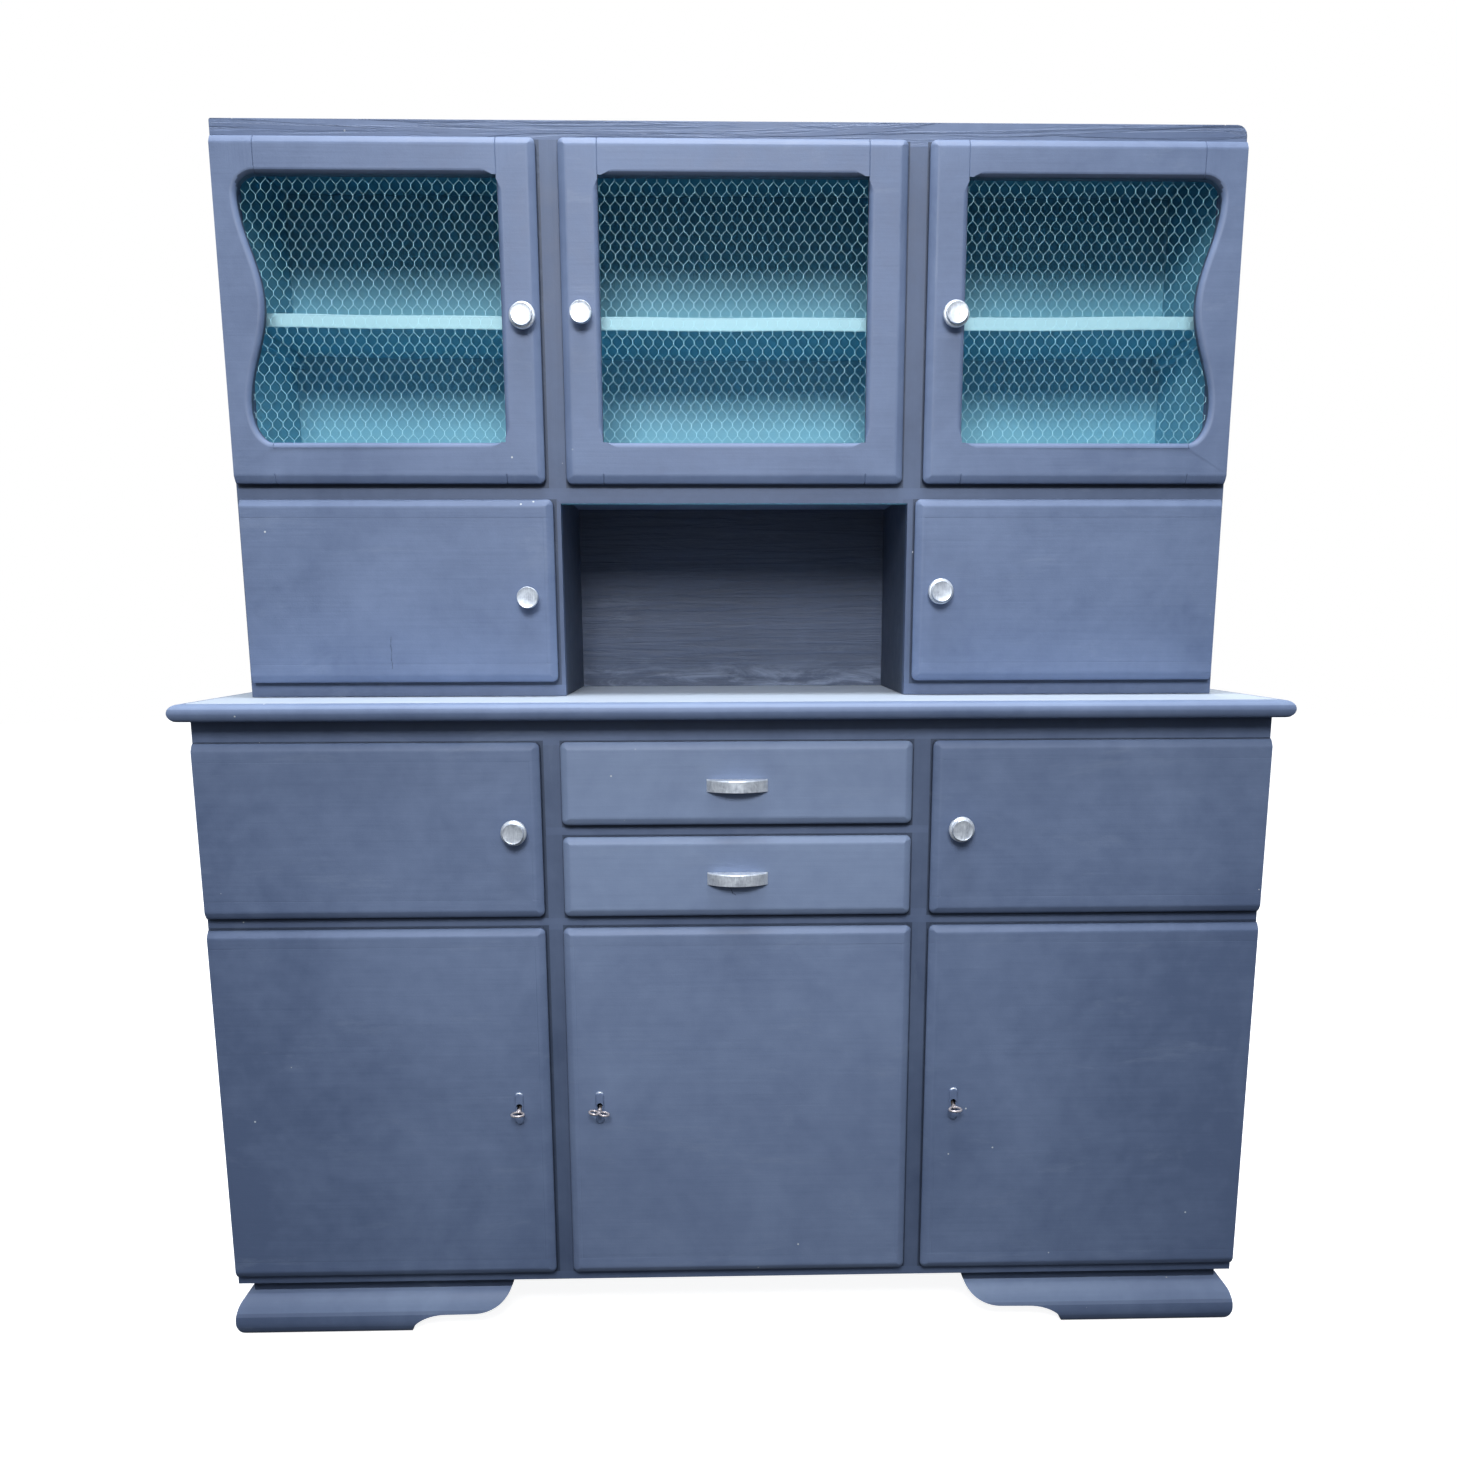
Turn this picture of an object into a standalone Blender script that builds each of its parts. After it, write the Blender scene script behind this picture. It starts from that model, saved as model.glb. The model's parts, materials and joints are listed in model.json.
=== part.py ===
"""Kitchen buffet in two stacked cases: three netting doors and an open niche over doors and drawers.

Metres, +Z up, front towards -Y, origin on the floor under the centre of the bounding box.
"""
import math

import bmesh
import bpy
from mathutils import Matrix, Vector

GAP = 0.0003                      # clearance between neighbouring pieces
BOARD = 0.018                     # thickness of the carcass boards
FRAME_T = 0.020                   # thickness of the face frames
DOOR_T = 0.020                    # thickness of doors and drawer fronts
LAP = 0.007                       # how far a door or drawer front laps its opening

# Depths along Y
BACK = 0.220                      # outer face of both backs
BACK_T = 0.0097
LOW_Y = -0.170                    # front of the lower face frame
UP_Y = -0.060                     # front of the upper face frame
TOP_Y = -0.220                    # nose of the worktop
CARCASS_END = BACK - BACK_T - GAP

# Half widths along X
LOW_X = 0.8035
UP_X = 0.7505
TOP_X = 0.819
LOW_HINGE_X = 0.7985             # hinge edges of the lower doors
MESH_HINGE_X = 0.7455            # hinge edges of the outer netting doors
NICHE_HINGE_X = 0.742            # hinge edges of the doors beside the niche
LOW_SPLIT = (0.2651, 0.2916)      # centre door edge, side door edge in the lower case
UP_SPLIT = (0.2535, 0.2845)       # the same in the upper case
DRAWER_X = 0.262
NICHE_X = 0.2642
SMALL_X = 0.274                   # inner edge of the doors beside the niche
LOW_STILE = 0.035
UP_STILE = 0.032

# Heights along Z
CASE_Z = 0.092                    # underside of the lower case
BIG_Z = (0.111, 0.680)            # large lower doors
SMALL_Z = (0.697, 0.962)          # small doors and the pair of drawers
DRAWER_Z = ((0.837, 0.962), (0.697, 0.8197))
TOP_Z = (0.9945, 1.0212)          # worktop
SHEET_Z = 1.0215                  # top of the laminate sheet
UPPER_Z = 1.0218                  # underside of the upper case
NICHE_DOOR_Z = (1.0441, 1.3176)
MIDDLE_Z = 1.325                  # underside of the board over the niche
MESH_DOOR_Z = (1.3396, 1.8182)
SHELF_Z = (1.574, 1.594)
FULL_Z = 1.845
TOP_CORNER_R = 0.015              # only the right-hand top corner is rounded
LOWER_SHELF_Z = (0.6855, 0.7035)  # boards between the large doors and the row above
RUNNER_Z = (0.8265, 0.8435)

# Feet
FOOT_STEP = 0.0355                # height of the relief under the inner part of a foot
FOOT_FULL_X = 0.532               # where the full-height part ends
FOOT_END_X = 0.364
FOOT_PROFILE = (                  # (outward from the case face, height), floor to top
    (-0.012, 0.000), (-0.003, 0.0035), (0.004, 0.012), (0.007, 0.026), (0.006, 0.040),
    (0.001, 0.056), (-0.007, 0.067), (-0.018, 0.0715), (-0.018, CASE_Z - GAP),
)
NOSE_PROFILE = (                  # (outward from the worktop edge, height over its underside)
    (-0.018, 0.0), (-0.008, 0.0015), (-0.002, 0.007), (0.0, 0.0135), (-0.002, 0.020),
    (-0.008, 0.0255), (-0.016, 0.0267),
)

# Doors
FRONT_R, BACK_R, CORNER_R = 0.009, 0.004, 0.0095
OPEN_Z = (1.398, 1.767)           # opening of the netting doors
CENTRE_OPEN_X = 0.197
SIDE_OPEN_X = (0.341, 0.685)
SCROLL = 0.0145                   # half the swing of the curved side
SCROLL_Z = (1.449, 1.738)         # crests of the curve
COVE_R = 0.008                    # round-over of the opening
REBATE = (0.010, 0.004)           # width and depth of the rebate for the netting
NETTING_T = 0.0012

# Locks
KEY_Z = 0.391
KEY_X = {"left": -0.340, "centre": -0.2154, "right": 0.3362}
BOLT_Z = 0.418
BOLT_THROW = 0.010
CASE_FREE = 0.004                 # from the frame opening to the lock case
LOCK_SIZE = (0.050, 0.0157, 0.060)

KNOBS = {                         # x, z, door face, stepped or plain
    "upper_left": (-0.308, 1.573, UP_Y, True),
    "upper_centre": (-0.223, 1.577, UP_Y, False),
    "upper_right": (0.3244, 1.577, UP_Y, True),
    "niche_left": (-0.3135, 1.172, UP_Y, False),
    "niche_right": (0.3127, 1.180, UP_Y, True),
    "small_left": (-0.3306, 0.830, LOW_Y, True),
    "small_right": (0.3336, 0.831, LOW_Y, True),
}
PULL_Z = (0.897, 0.756)

COLOURS = {
    "slate": (0.16, 0.19, 0.27), "teal": (0.10, 0.38, 0.45), "aluminium": (0.80, 0.80, 0.82),
    "wire": (0.62, 0.66, 0.67), "steel": (0.35, 0.35, 0.36), "laminate": (0.62, 0.68, 0.76),
    "raw_wood": (0.55, 0.41, 0.26),
}
METALS = ("aluminium", "wire", "steel")


def clear_scene():
    for old in list(bpy.data.objects):
        bpy.data.objects.remove(old, do_unlink=True)


def collection(name, shown):
    made = bpy.data.collections.new(name)
    bpy.context.scene.collection.children.link(made)
    made.hide_render = not shown
    return made


def add(name, bm, colour=None):
    """Turns a bmesh into a piece of the buffet, or into a cutter if it has no colour."""
    bmesh.ops.recalc_face_normals(bm, faces=bm.faces)
    mesh = bpy.data.meshes.new(name)
    bm.to_mesh(mesh)
    bm.free()
    piece = bpy.data.objects.new(name, mesh)
    if colour is None:
        CUTTERS.objects.link(piece)
        piece.hide_render = True
        piece.display_type = "WIRE"
        return piece
    BUFFET.objects.link(piece)
    paint = bpy.data.materials.new(name)
    paint.use_nodes = True
    surface = paint.node_tree.nodes["Principled BSDF"]
    surface.inputs["Base Color"].default_value = (*COLOURS[colour], 1)
    surface.inputs["Metallic"].default_value = float(colour in METALS)
    surface.inputs["Roughness"].default_value = 0.45
    paint.diffuse_color = (*COLOURS[colour], 1)
    mesh.materials.append(paint)
    return piece


def block(lo, hi):
    bm = bmesh.new()
    size = Vector(hi) - Vector(lo)
    bmesh.ops.create_cube(bm, size=1, matrix=Matrix.Diagonal((*size, 1)))
    bmesh.ops.translate(bm, verts=bm.verts, vec=(Vector(lo) + Vector(hi)) / 2)
    return bm


def same(a, b):
    return abs(a - b) < 1e-6


def edges_where(bm, test):
    """The edges whose two ends both pass the test."""
    return [edge for edge in bm.edges if all(test(vert.co) for vert in edge.verts)]


def bevel(bm, edges, radius, segments):
    bmesh.ops.bevel(bm, geom=edges, offset=radius, segments=segments, profile=0.5, affect="EDGES")


def board(name, lo, hi, colour, arris=0.0):
    bm = block(lo, hi)
    if arris:
        bevel(bm, list(bm.edges), arris, 1)
    return add(name, bm, colour)


def prism(outline, y0, y1):
    """An outline of (x, z) points carried from y0 to y1."""
    bm = bmesh.new()
    face = bm.faces.new([bm.verts.new((x, y0, z)) for x, z in outline])
    made = bmesh.ops.extrude_face_region(bm, geom=[face])["geom"]
    moved = [part for part in made if isinstance(part, bmesh.types.BMVert)]
    bmesh.ops.translate(bm, verts=moved, vec=(0, y1 - y0, 0))
    return bm


def loft(rings):
    """A closed solid through rings of equally many points."""
    bm = bmesh.new()
    rows = [[bm.verts.new(point) for point in ring] for ring in rings]
    for low, high in zip(rows, rows[1:]):
        for i in range(len(low)):
            j = (i + 1) % len(low)
            bm.faces.new((low[i], low[j], high[j], high[i]))
    bm.faces.new(rows[0])
    bm.faces.new(rows[-1])
    return bm


def combine(piece, other, operation="DIFFERENCE"):
    modifier = piece.modifiers.new(other.name, "BOOLEAN")
    modifier.operation = operation
    modifier.solver = "EXACT"
    modifier.object = other


def arc(centre, radii, start, end, steps):
    turn = [math.radians(start + (end - start) * i / steps) for i in range(steps + 1)]
    return [(centre[0] + radii[0] * math.cos(a), centre[1] + radii[1] * math.sin(a)) for a in turn]


def door_blank(xs, zs, y_back, square=()):
    """A door or drawer front, rounded at its edges but for the square hinge edge."""
    lo, hi = (xs[0], y_back - DOOR_T, zs[0]), (xs[1], y_back, zs[1])
    bm = block(lo, hi)
    soft_x = [x for x in xs if x not in square]
    corners = [edge for x in soft_x for edge in edges_where(bm, lambda p: same(p.x, x))
               if same(edge.verts[0].co.z, edge.verts[1].co.z)]
    bevel(bm, corners, CORNER_R, 2)
    for y, radius, steps in ((lo[1], FRONT_R, 4), (hi[1], BACK_R, 2)):
        ring = [edge for edge in edges_where(bm, lambda p: same(p.y, y))
                if not any(all(same(vert.co.x, x) for vert in edge.verts) for x in square)]
        bevel(bm, ring, radius, steps)
    return bm


def opening_outline(side):
    """The outline of a netting door's opening, and how fully each point is rounded over."""
    z0, z1 = OPEN_Z
    if side == 0:
        xs, scroll = (-CENTRE_OPEN_X, CENTRE_OPEN_X), []
    else:
        xs = SIDE_OPEN_X
        middle, span = sum(SCROLL_Z) / 2, SCROLL_Z[1] - SCROLL_Z[0]
        crest = xs[1] + 2 * SCROLL
        wave = [(xs[1] + SCROLL * (1 - math.cos(2 * math.pi * (z - middle) / span)), z)
                for z in (SCROLL_Z[0] + span * i / 18 for i in range(1, 18))]
        scroll = arc((xs[1], SCROLL_Z[0]), (crest - xs[1], SCROLL_Z[0] - z0), -90, 0, 5)
        scroll += wave
        scroll += arc((xs[1], SCROLL_Z[1]), (crest - xs[1], z1 - SCROLL_Z[1]), 0, 90, 5)
    stop = (0.022, 0.030)         # the round-over fades out between these distances from a corner
    points = [(xs[0], z0, 0)]
    points += [(xs[0] + stop[0], z0, 0), (xs[0] + stop[1], z0, 1)]
    if side == 0:
        points += [(xs[1] - stop[1], z0, 1), (xs[1] - stop[0], z0, 0), (xs[1], z0, 0)]
        points += [(xs[1], z0 + stop[0], 0), (xs[1], z0 + stop[1], 1)]
        points += [(xs[1], z1 - stop[1], 1), (xs[1], z1 - stop[0], 0), (xs[1], z1, 0)]
        points += [(xs[1] - stop[0], z1, 0), (xs[1] - stop[1], z1, 1)]
    else:
        points += [(x, z, 1) for x, z in scroll]
    points += [(xs[0] + stop[1], z1, 1), (xs[0] + stop[0], z1, 0), (xs[0], z1, 0)]
    points += [(xs[0], z1 - stop[0], 0), (xs[0], z1 - stop[1], 1)]
    points += [(xs[0], z0 + stop[1], 1), (xs[0], z0 + stop[0], 0)]
    return [(x if side >= 0 else -x, z, full) for x, z, full in points]


def opening_cutter(name, side, y_back):
    """Cuts the opening with its front edge rounded over."""
    outline = opening_outline(side)
    turn = -1 if side < 0 else 1
    outward = []
    for i, (x, z, full) in enumerate(outline):
        ax, az, _ = outline[i - 1]
        bx, bz, _ = outline[(i + 1) % len(outline)]
        length = math.hypot(bx - ax, bz - az)
        outward.append((turn * (bz - az) / length * full, -turn * (bx - ax) / length * full))
    front = y_back - DOOR_T
    levels = [(y_back + 0.002, 0.0)]
    for i in range(5):
        angle = math.radians(90 * i / 4)
        levels.append((front + COVE_R * (1 - math.sin(angle)), COVE_R * (1 - math.cos(angle))))
    levels.append((front - 0.002, COVE_R))
    rings = [[(x + out[0] * grow, y, z + out[1] * grow) for (x, z, _), out in zip(outline, outward)]
             for y, grow in levels]
    return add(name, loft(rings))


def netting_span(side):
    """The rebate of a netting door as (x0, x1), (z0, z1)."""
    w = REBATE[0]
    if side == 0:
        xs = (-CENTRE_OPEN_X - w, CENTRE_OPEN_X + w)
    else:
        ends = (SIDE_OPEN_X[0] - w, SIDE_OPEN_X[1] + 2 * SCROLL + w)
        xs = ends if side > 0 else (-ends[1], -ends[0])
    return xs, (OPEN_Z[0] - w, OPEN_Z[1] + w)


def lathe(profile, centre, steps):
    """Turns a profile of (radius, y) points about an axis along Y."""
    bm = bmesh.new()
    rings = []
    for radius, y in profile:
        ring = [bm.verts.new((centre[0] + radius * math.cos(a), centre[1] + y,
                              centre[2] + radius * math.sin(a)))
                for a in (2 * math.pi * i / steps for i in range(steps))]
        rings.append(ring)
    for low, high in zip(rings, rings[1:]):
        for i in range(steps):
            j = (i + 1) % steps
            bm.faces.new((low[i], low[j], high[j], high[i]))
    bm.faces.new(rings[0])
    bm.faces.new(rings[-1])
    return bm


def make_feet():
    for name, side in (("foot_left", -1), ("foot_right", 1)):
        rings = []
        for out, z in FOOT_PROFILE:
            edge, front = LOW_X + out, LOW_Y - out
            plan = ((edge, front), (FOOT_END_X - 0.002, front), (FOOT_END_X - 0.002, LOW_Y + 0.055),
                    (LOW_X - 0.055, LOW_Y + 0.055), (LOW_X - 0.055, BACK), (edge, BACK))
            rings.append([(side * x, y, z) for x, y in plan])
        foot = add(name, loft(rings), "slate")
        relief = [(FOOT_FULL_X, -0.01)]
        relief += arc((FOOT_FULL_X - 0.058, 0), (0.058, FOOT_STEP), 0, 90, 6)
        relief += arc((0.430, 0.095), (0.066, 0.059), 270, 180, 7)
        relief += [(FOOT_END_X, 0.100), (FOOT_END_X - 0.02, 0.100), (FOOT_END_X - 0.02, -0.01)]
        shape = [(side * x, z) for x, z in relief]
        cutter = add(name + "_relief", prism(shape, LOW_Y - 0.03, LOW_Y + 0.08))
        combine(foot, cutter)


def frame_piece(name, outer, holes, y, colour, round_top=None):
    """A face frame with rectangular openings, each (x0, x1, z0, z1)."""
    (x0, x1), (z0, z1) = outer
    bm = block((x0, y, z0), (x1, y + FRAME_T, z1))
    if round_top:
        for x, radius in round_top:
            bevel(bm, edges_where(bm, lambda p: same(p.x, x) and same(p.z, z1)), radius, 4)
    frame = add(name, bm, colour)
    for i, (a, b, c, d) in enumerate(holes):
        combine(frame, add(f"{name}_opening_{i}", block((a, y - 0.01, c), (b, y + 0.03, d))))
    return frame


def make_lower_case():
    y0, top = LOW_Y + FRAME_T + GAP, TOP_Z[0] - GAP
    inner = LOW_X - BOARD
    middle = sum(LOW_SPLIT) / 2
    part_x = (middle - BOARD / 2, middle + BOARD / 2)
    for side, word in ((-1, "left"), (1, "right")):
        xs = sorted((side * inner, side * LOW_X))
        board(f"lower_side_{word}", (xs[0], y0, CASE_Z), (xs[1], CARCASS_END, top), "slate")
        xs = sorted((side * part_x[0], side * part_x[1]))
        board(f"lower_partition_{word}", (xs[0], y0, CASE_Z + BOARD + GAP), (xs[1], CARCASS_END, top),
              "raw_wood")
        xs = sorted((side * (part_x[1] + GAP), side * (inner - GAP)))
        board(f"lower_middle_{word}", (xs[0], y0, LOWER_SHELF_Z[0]),
              (xs[1], CARCASS_END, LOWER_SHELF_Z[1]), "raw_wood")
        xs = sorted((side * (part_x[0] - GAP), side * 0.240))
        board(f"drawer_runner_{word}", (xs[0], y0, RUNNER_Z[0]), (xs[1], 0.200, RUNNER_Z[1]), "raw_wood")
    board("lower_middle_centre", (-part_x[0] + GAP, y0, LOWER_SHELF_Z[0]),
          (part_x[0] - GAP, CARCASS_END, LOWER_SHELF_Z[1]), "raw_wood")
    board("lower_bottom", (-inner + GAP, y0, CASE_Z), (inner - GAP, CARCASS_END, CASE_Z + BOARD), "slate")
    board("lower_back", (-LOW_X, BACK - BACK_T, CASE_Z), (LOW_X, BACK, top), "raw_wood")
    stile = (LOW_SPLIT[0] - LAP, LOW_SPLIT[1] + LAP)
    side_x = (stile[1], LOW_X - LOW_STILE)
    holes = [(-stile[0], stile[0], BIG_Z[0] + LAP, BIG_Z[1] - LAP)]
    for zs in DRAWER_Z:
        holes.append((-stile[0], stile[0], zs[0] + LAP, zs[1] - LAP))
    for zs in (BIG_Z, SMALL_Z):
        holes.append((*side_x, zs[0] + LAP, zs[1] - LAP))
        holes.append((-side_x[1], -side_x[0], zs[0] + LAP, zs[1] - LAP))
    frame = frame_piece("lower_face_frame", ((-LOW_X, LOW_X), (CASE_Z, top)), holes, LOW_Y, "slate")
    for word, x, towards in (("left", -stile[1], 1), ("centre", -stile[0], -1), ("right", stile[1], -1)):
        xs = sorted((x - towards * 0.002, x + towards * 0.008))
        pocket = block((xs[0], LOW_Y + 0.0035, BOLT_Z - 0.010), (xs[1], LOW_Y + 0.0125, BOLT_Z + 0.010))
        combine(frame, add(f"mortise_{word}", pocket))
    return stile


def make_worktop():
    rings = []
    for out, z in NOSE_PROFILE:
        x, front = TOP_X + out, TOP_Y - out
        rings.append([(-x, front, TOP_Z[0] + z), (x, front, TOP_Z[0] + z),
                      (x, BACK, TOP_Z[0] + z), (-x, BACK, TOP_Z[0] + z)])
    worktop = add("worktop", loft(rings), "slate")
    edge = 0.022
    lo = (-TOP_X + edge, TOP_Y + edge, SHEET_Z - 0.0012)
    hi = (TOP_X - edge, BACK - 0.0005, SHEET_Z)
    recess = block(Vector(lo) - Vector((GAP, GAP, GAP)), (hi[0] + GAP, BACK + 0.01, hi[2] + 0.01))
    combine(worktop, add("sheet_recess", recess))
    board("worktop_sheet", lo, hi, "laminate")


def make_upper_case():
    y0 = UP_Y + FRAME_T + GAP
    inner = UP_X - BOARD
    for side, word in ((-1, "left"), (1, "right")):
        xs = sorted((side * inner, side * UP_X))
        board(f"upper_side_{word}", (xs[0], y0, UPPER_Z), (xs[1], CARCASS_END, FULL_Z - BOARD - GAP), "slate")
        xs = sorted((side * NICHE_X, side * (NICHE_X + 0.017)))
        board(f"niche_side_{word}", (xs[0], y0, UPPER_Z), (xs[1], CARCASS_END, MIDDLE_Z - GAP), "slate")
    board("niche_ceiling", (-inner + GAP, y0, MIDDLE_Z), (inner - GAP, CARCASS_END, MIDDLE_Z + BOARD), "teal")
    board("upper_shelf", (-inner + GAP, -0.010, SHELF_Z[0]), (inner - GAP, CARCASS_END, SHELF_Z[1]), "teal",
          0.001)
    bm = block((-UP_X, y0, FULL_Z - BOARD), (UP_X, BACK, FULL_Z))
    bevel(bm, edges_where(bm, lambda p: same(p.x, UP_X) and same(p.z, FULL_Z)), TOP_CORNER_R, 4)
    add("upper_top", bm, "slate")
    board("upper_back", (-UP_X, BACK - BACK_T, UPPER_Z), (UP_X, BACK, FULL_Z - BOARD - GAP), "teal")
    stile = (UP_SPLIT[0] - LAP, UP_SPLIT[1] + LAP)
    side_x, zs = (stile[1], UP_X - UP_STILE), MESH_DOOR_Z
    holes = [(-stile[0], stile[0], zs[0] + LAP, zs[1] - LAP)]
    holes += [(-NICHE_X, NICHE_X, UPPER_Z - 0.01, NICHE_DOOR_Z[1] - 0.0056)]
    for (a, b), (c, d) in ((side_x, zs), ((SMALL_X + LAP, UP_X - UP_STILE), NICHE_DOOR_Z)):
        holes += [(a, b, c + LAP, d - LAP), (-b, -a, c + LAP, d - LAP)]
    frame_piece("upper_face_frame", ((-UP_X, UP_X), (UPPER_Z, FULL_Z)), holes, UP_Y, "slate",
                ((UP_X, TOP_CORNER_R), (-UP_X, 0.003)))


def make_mesh_doors():
    back = UP_Y - GAP
    for word, side in (("left", -1), ("centre", 0), ("right", 1)):
        if side:
            xs = sorted((side * UP_SPLIT[1], side * MESH_HINGE_X))
            bm = door_blank(xs, MESH_DOOR_Z, back, (side * MESH_HINGE_X,))
        else:
            bm = door_blank((-UP_SPLIT[0], UP_SPLIT[0]), MESH_DOOR_Z, back)
        door = add(f"mesh_door_{word}", bm, "slate")
        combine(door, opening_cutter(f"mesh_door_{word}_opening", side, back))
        (x0, x1), (z0, z1) = netting_span(side)
        rebate = block((x0, back - REBATE[1], z0), (x1, back + 0.002, z1))
        combine(door, add(f"mesh_door_{word}_rebate", rebate))
        y = back - REBATE[1] + GAP
        board(f"netting_{word}", (x0 + GAP, y, z0 + GAP), (x1 - GAP, y + NETTING_T, z1 - GAP), "wire")


def make_plain_doors():
    for word, side in (("left", -1), ("right", 1)):
        hinge = side * NICHE_HINGE_X
        xs = sorted((side * SMALL_X, hinge))
        add(f"niche_door_{word}", door_blank(xs, NICHE_DOOR_Z, UP_Y - GAP, (hinge,)), "slate")
        hinge = side * LOW_HINGE_X
        xs = sorted((side * LOW_SPLIT[1], hinge))
        add(f"small_door_{word}", door_blank(xs, SMALL_Z, LOW_Y - GAP, (hinge,)), "slate")


def make_big_doors(stile):
    """The three lockable doors, each with its lock case, bolt and key."""
    back = LOW_Y - GAP
    ends = {"left": (-LOW_HINGE_X, -LOW_SPLIT[1]), "centre": (-LOW_SPLIT[0], LOW_SPLIT[0]),
            "right": (LOW_SPLIT[1], LOW_HINGE_X)}
    square = {"left": (-LOW_HINGE_X,), "centre": (), "right": (LOW_HINGE_X,)}
    free = {"left": (-stile[1], 1), "centre": (-stile[0], -1), "right": (stile[1], -1)}
    for word, xs in ends.items():
        door = add(f"big_door_{word}", door_blank(xs, BIG_Z, back, square[word]), "slate")
        hole = lathe(((0.0042, -0.05), (0.0042, 0.02)), (KEY_X[word], back, KEY_Z), 12)
        combine(door, add(f"keyhole_{word}", hole))
        edge, towards = free[word]
        near = edge - towards * CASE_FREE
        xs = sorted((near, near - towards * LOCK_SIZE[0]))
        y0, y1 = LOW_Y + GAP / 2, LOW_Y + LOCK_SIZE[1]
        case = board(f"lock_case_{word}", (xs[0], y0, KEY_Z - 0.019),
                     (xs[1], y1, KEY_Z - 0.019 + LOCK_SIZE[2]), "steel", 0.001)
        well = lathe(((0.0060, -0.01), (0.0060, 0.0125)), (KEY_X[word], LOW_Y, KEY_Z), 12)
        combine(case, add(f"lock_well_{word}", well))
        xs = sorted((near + towards * 0.01, near - towards * 0.0445))
        slot = block((xs[0], LOW_Y + 0.005, BOLT_Z - 0.0075), (xs[1], LOW_Y + 0.011, BOLT_Z + 0.0075))
        combine(case, add(f"bolt_slot_{word}", slot))
        xs = sorted((near - towards * 0.001, near - towards * 0.0435))
        board(f"bolt_{word}", (xs[0], LOW_Y + 0.0055, BOLT_Z - 0.007),
              (xs[1], LOW_Y + 0.0105, BOLT_Z + 0.007), "steel", 0.0008)
        make_key(word)


def make_key(word):
    """A key with its bow lying level, its stem through the door and its bit in the lock."""
    x, face = KEY_X[word], LOW_Y - GAP - DOOR_T
    spread = 0.0075 if word == "centre" else 0.0
    reach = 0.0175 if spread else 0.011
    stem = lathe(((0.0018, -reach), (0.0026, 0.001 - reach), (0.0026, -0.003), (0.0026, 0.0315)),
                 (x, face, KEY_Z), 12)
    key = add(f"key_{word}", stem, "steel")
    for i, shift in enumerate((-spread, spread) if spread else (0.0,)):
        bm = bmesh.new()
        rx, ry, wire = (0.0068, 0.0062, 0.0013) if spread else (0.0088, 0.0070, 0.0014)
        rings = []
        for a in (2 * math.pi * k / 16 for k in range(16)):
            mid = Vector((x + shift + rx * math.cos(a), face - 0.0165 + ry * math.sin(a), KEY_Z))
            out = Vector((math.cos(a), math.sin(a), 0))
            rings.append([bm.verts.new(mid + out * wire * math.cos(b) + Vector((0, 0, wire * math.sin(b))))
                          for b in (2 * math.pi * j / 6 for j in range(6))])
        for k in range(16):
            for j in range(6):
                a, b = rings[k], rings[(k + 1) % 16]
                bm.faces.new((a[j], a[(j + 1) % 6], b[(j + 1) % 6], b[j]))
        combine(key, add(f"key_{word}_bow_{i}", bm), "UNION")
    collar = lathe(((0.0046, -0.0030), (0.0046, -0.0005)), (x, face, KEY_Z), 12)
    combine(key, add(f"key_{word}_collar", collar), "UNION")
    bit = block((x - 0.0009, face + 0.0255, KEY_Z - 0.0055), (x + 0.0009, face + 0.0305, KEY_Z))
    combine(key, add(f"key_{word}_bit", bit), "UNION")


def make_drawers(stile):
    for word, zs, pull_z, floor in (("upper", DRAWER_Z[0], PULL_Z[0], RUNNER_Z[1] + 0.001),
                                    ("lower", DRAWER_Z[1], PULL_Z[1], LOWER_SHELF_Z[1] + 0.001)):
        add(f"drawer_front_{word}", door_blank((-DRAWER_X, DRAWER_X), zs, LOW_Y - GAP), "slate")
        x, y0, y1, high = stile[0] - 0.0045, LOW_Y, 0.180, floor + 0.095
        box = board(f"drawer_box_{word}", (-x, y0, floor), (x, y1, high), "raw_wood")
        inside = block((-x + 0.010, y0 + 0.012, floor + 0.008), (x - 0.010, y1 - 0.012, high + 0.01))
        combine(box, add(f"drawer_inside_{word}", inside))
        make_pull(word, pull_z)


def make_pull(word, z):
    """A bow pull: a bent strip with a closed top, open below."""
    face, half, deep, thick, height = LOW_Y - GAP - DOOR_T, 0.046, 0.020, 0.002, 0.020
    radius = (half ** 2 + deep ** 2) / (2 * deep)
    sweep = math.degrees(math.asin(half / radius))

    def bow(r, y_limit):
        line = arc((0, face - deep + radius), (r, r), 270 - sweep, 270 + sweep, 14)
        return [(x, min(y, y_limit)) for x, y in line]
    outer, inner = bow(radius, face - GAP), bow(radius - thick, face - GAP)
    inner = [(x * (half - thick) / half, y) for x, y in inner]
    rings = [[(x, y, h) for x, y in outer] for h in (z - height / 2, z + height / 2)]
    pull = add(f"pull_{word}", loft(rings), "aluminium")
    rings = [[(x, y if 0 < i < 14 else y + 0.01, h) for i, (x, y) in enumerate(inner)]
             for h in (z - height / 2 - 0.005, z + height / 2 - thick)]
    combine(pull, add(f"pull_{word}_hollow", loft(rings)))


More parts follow.
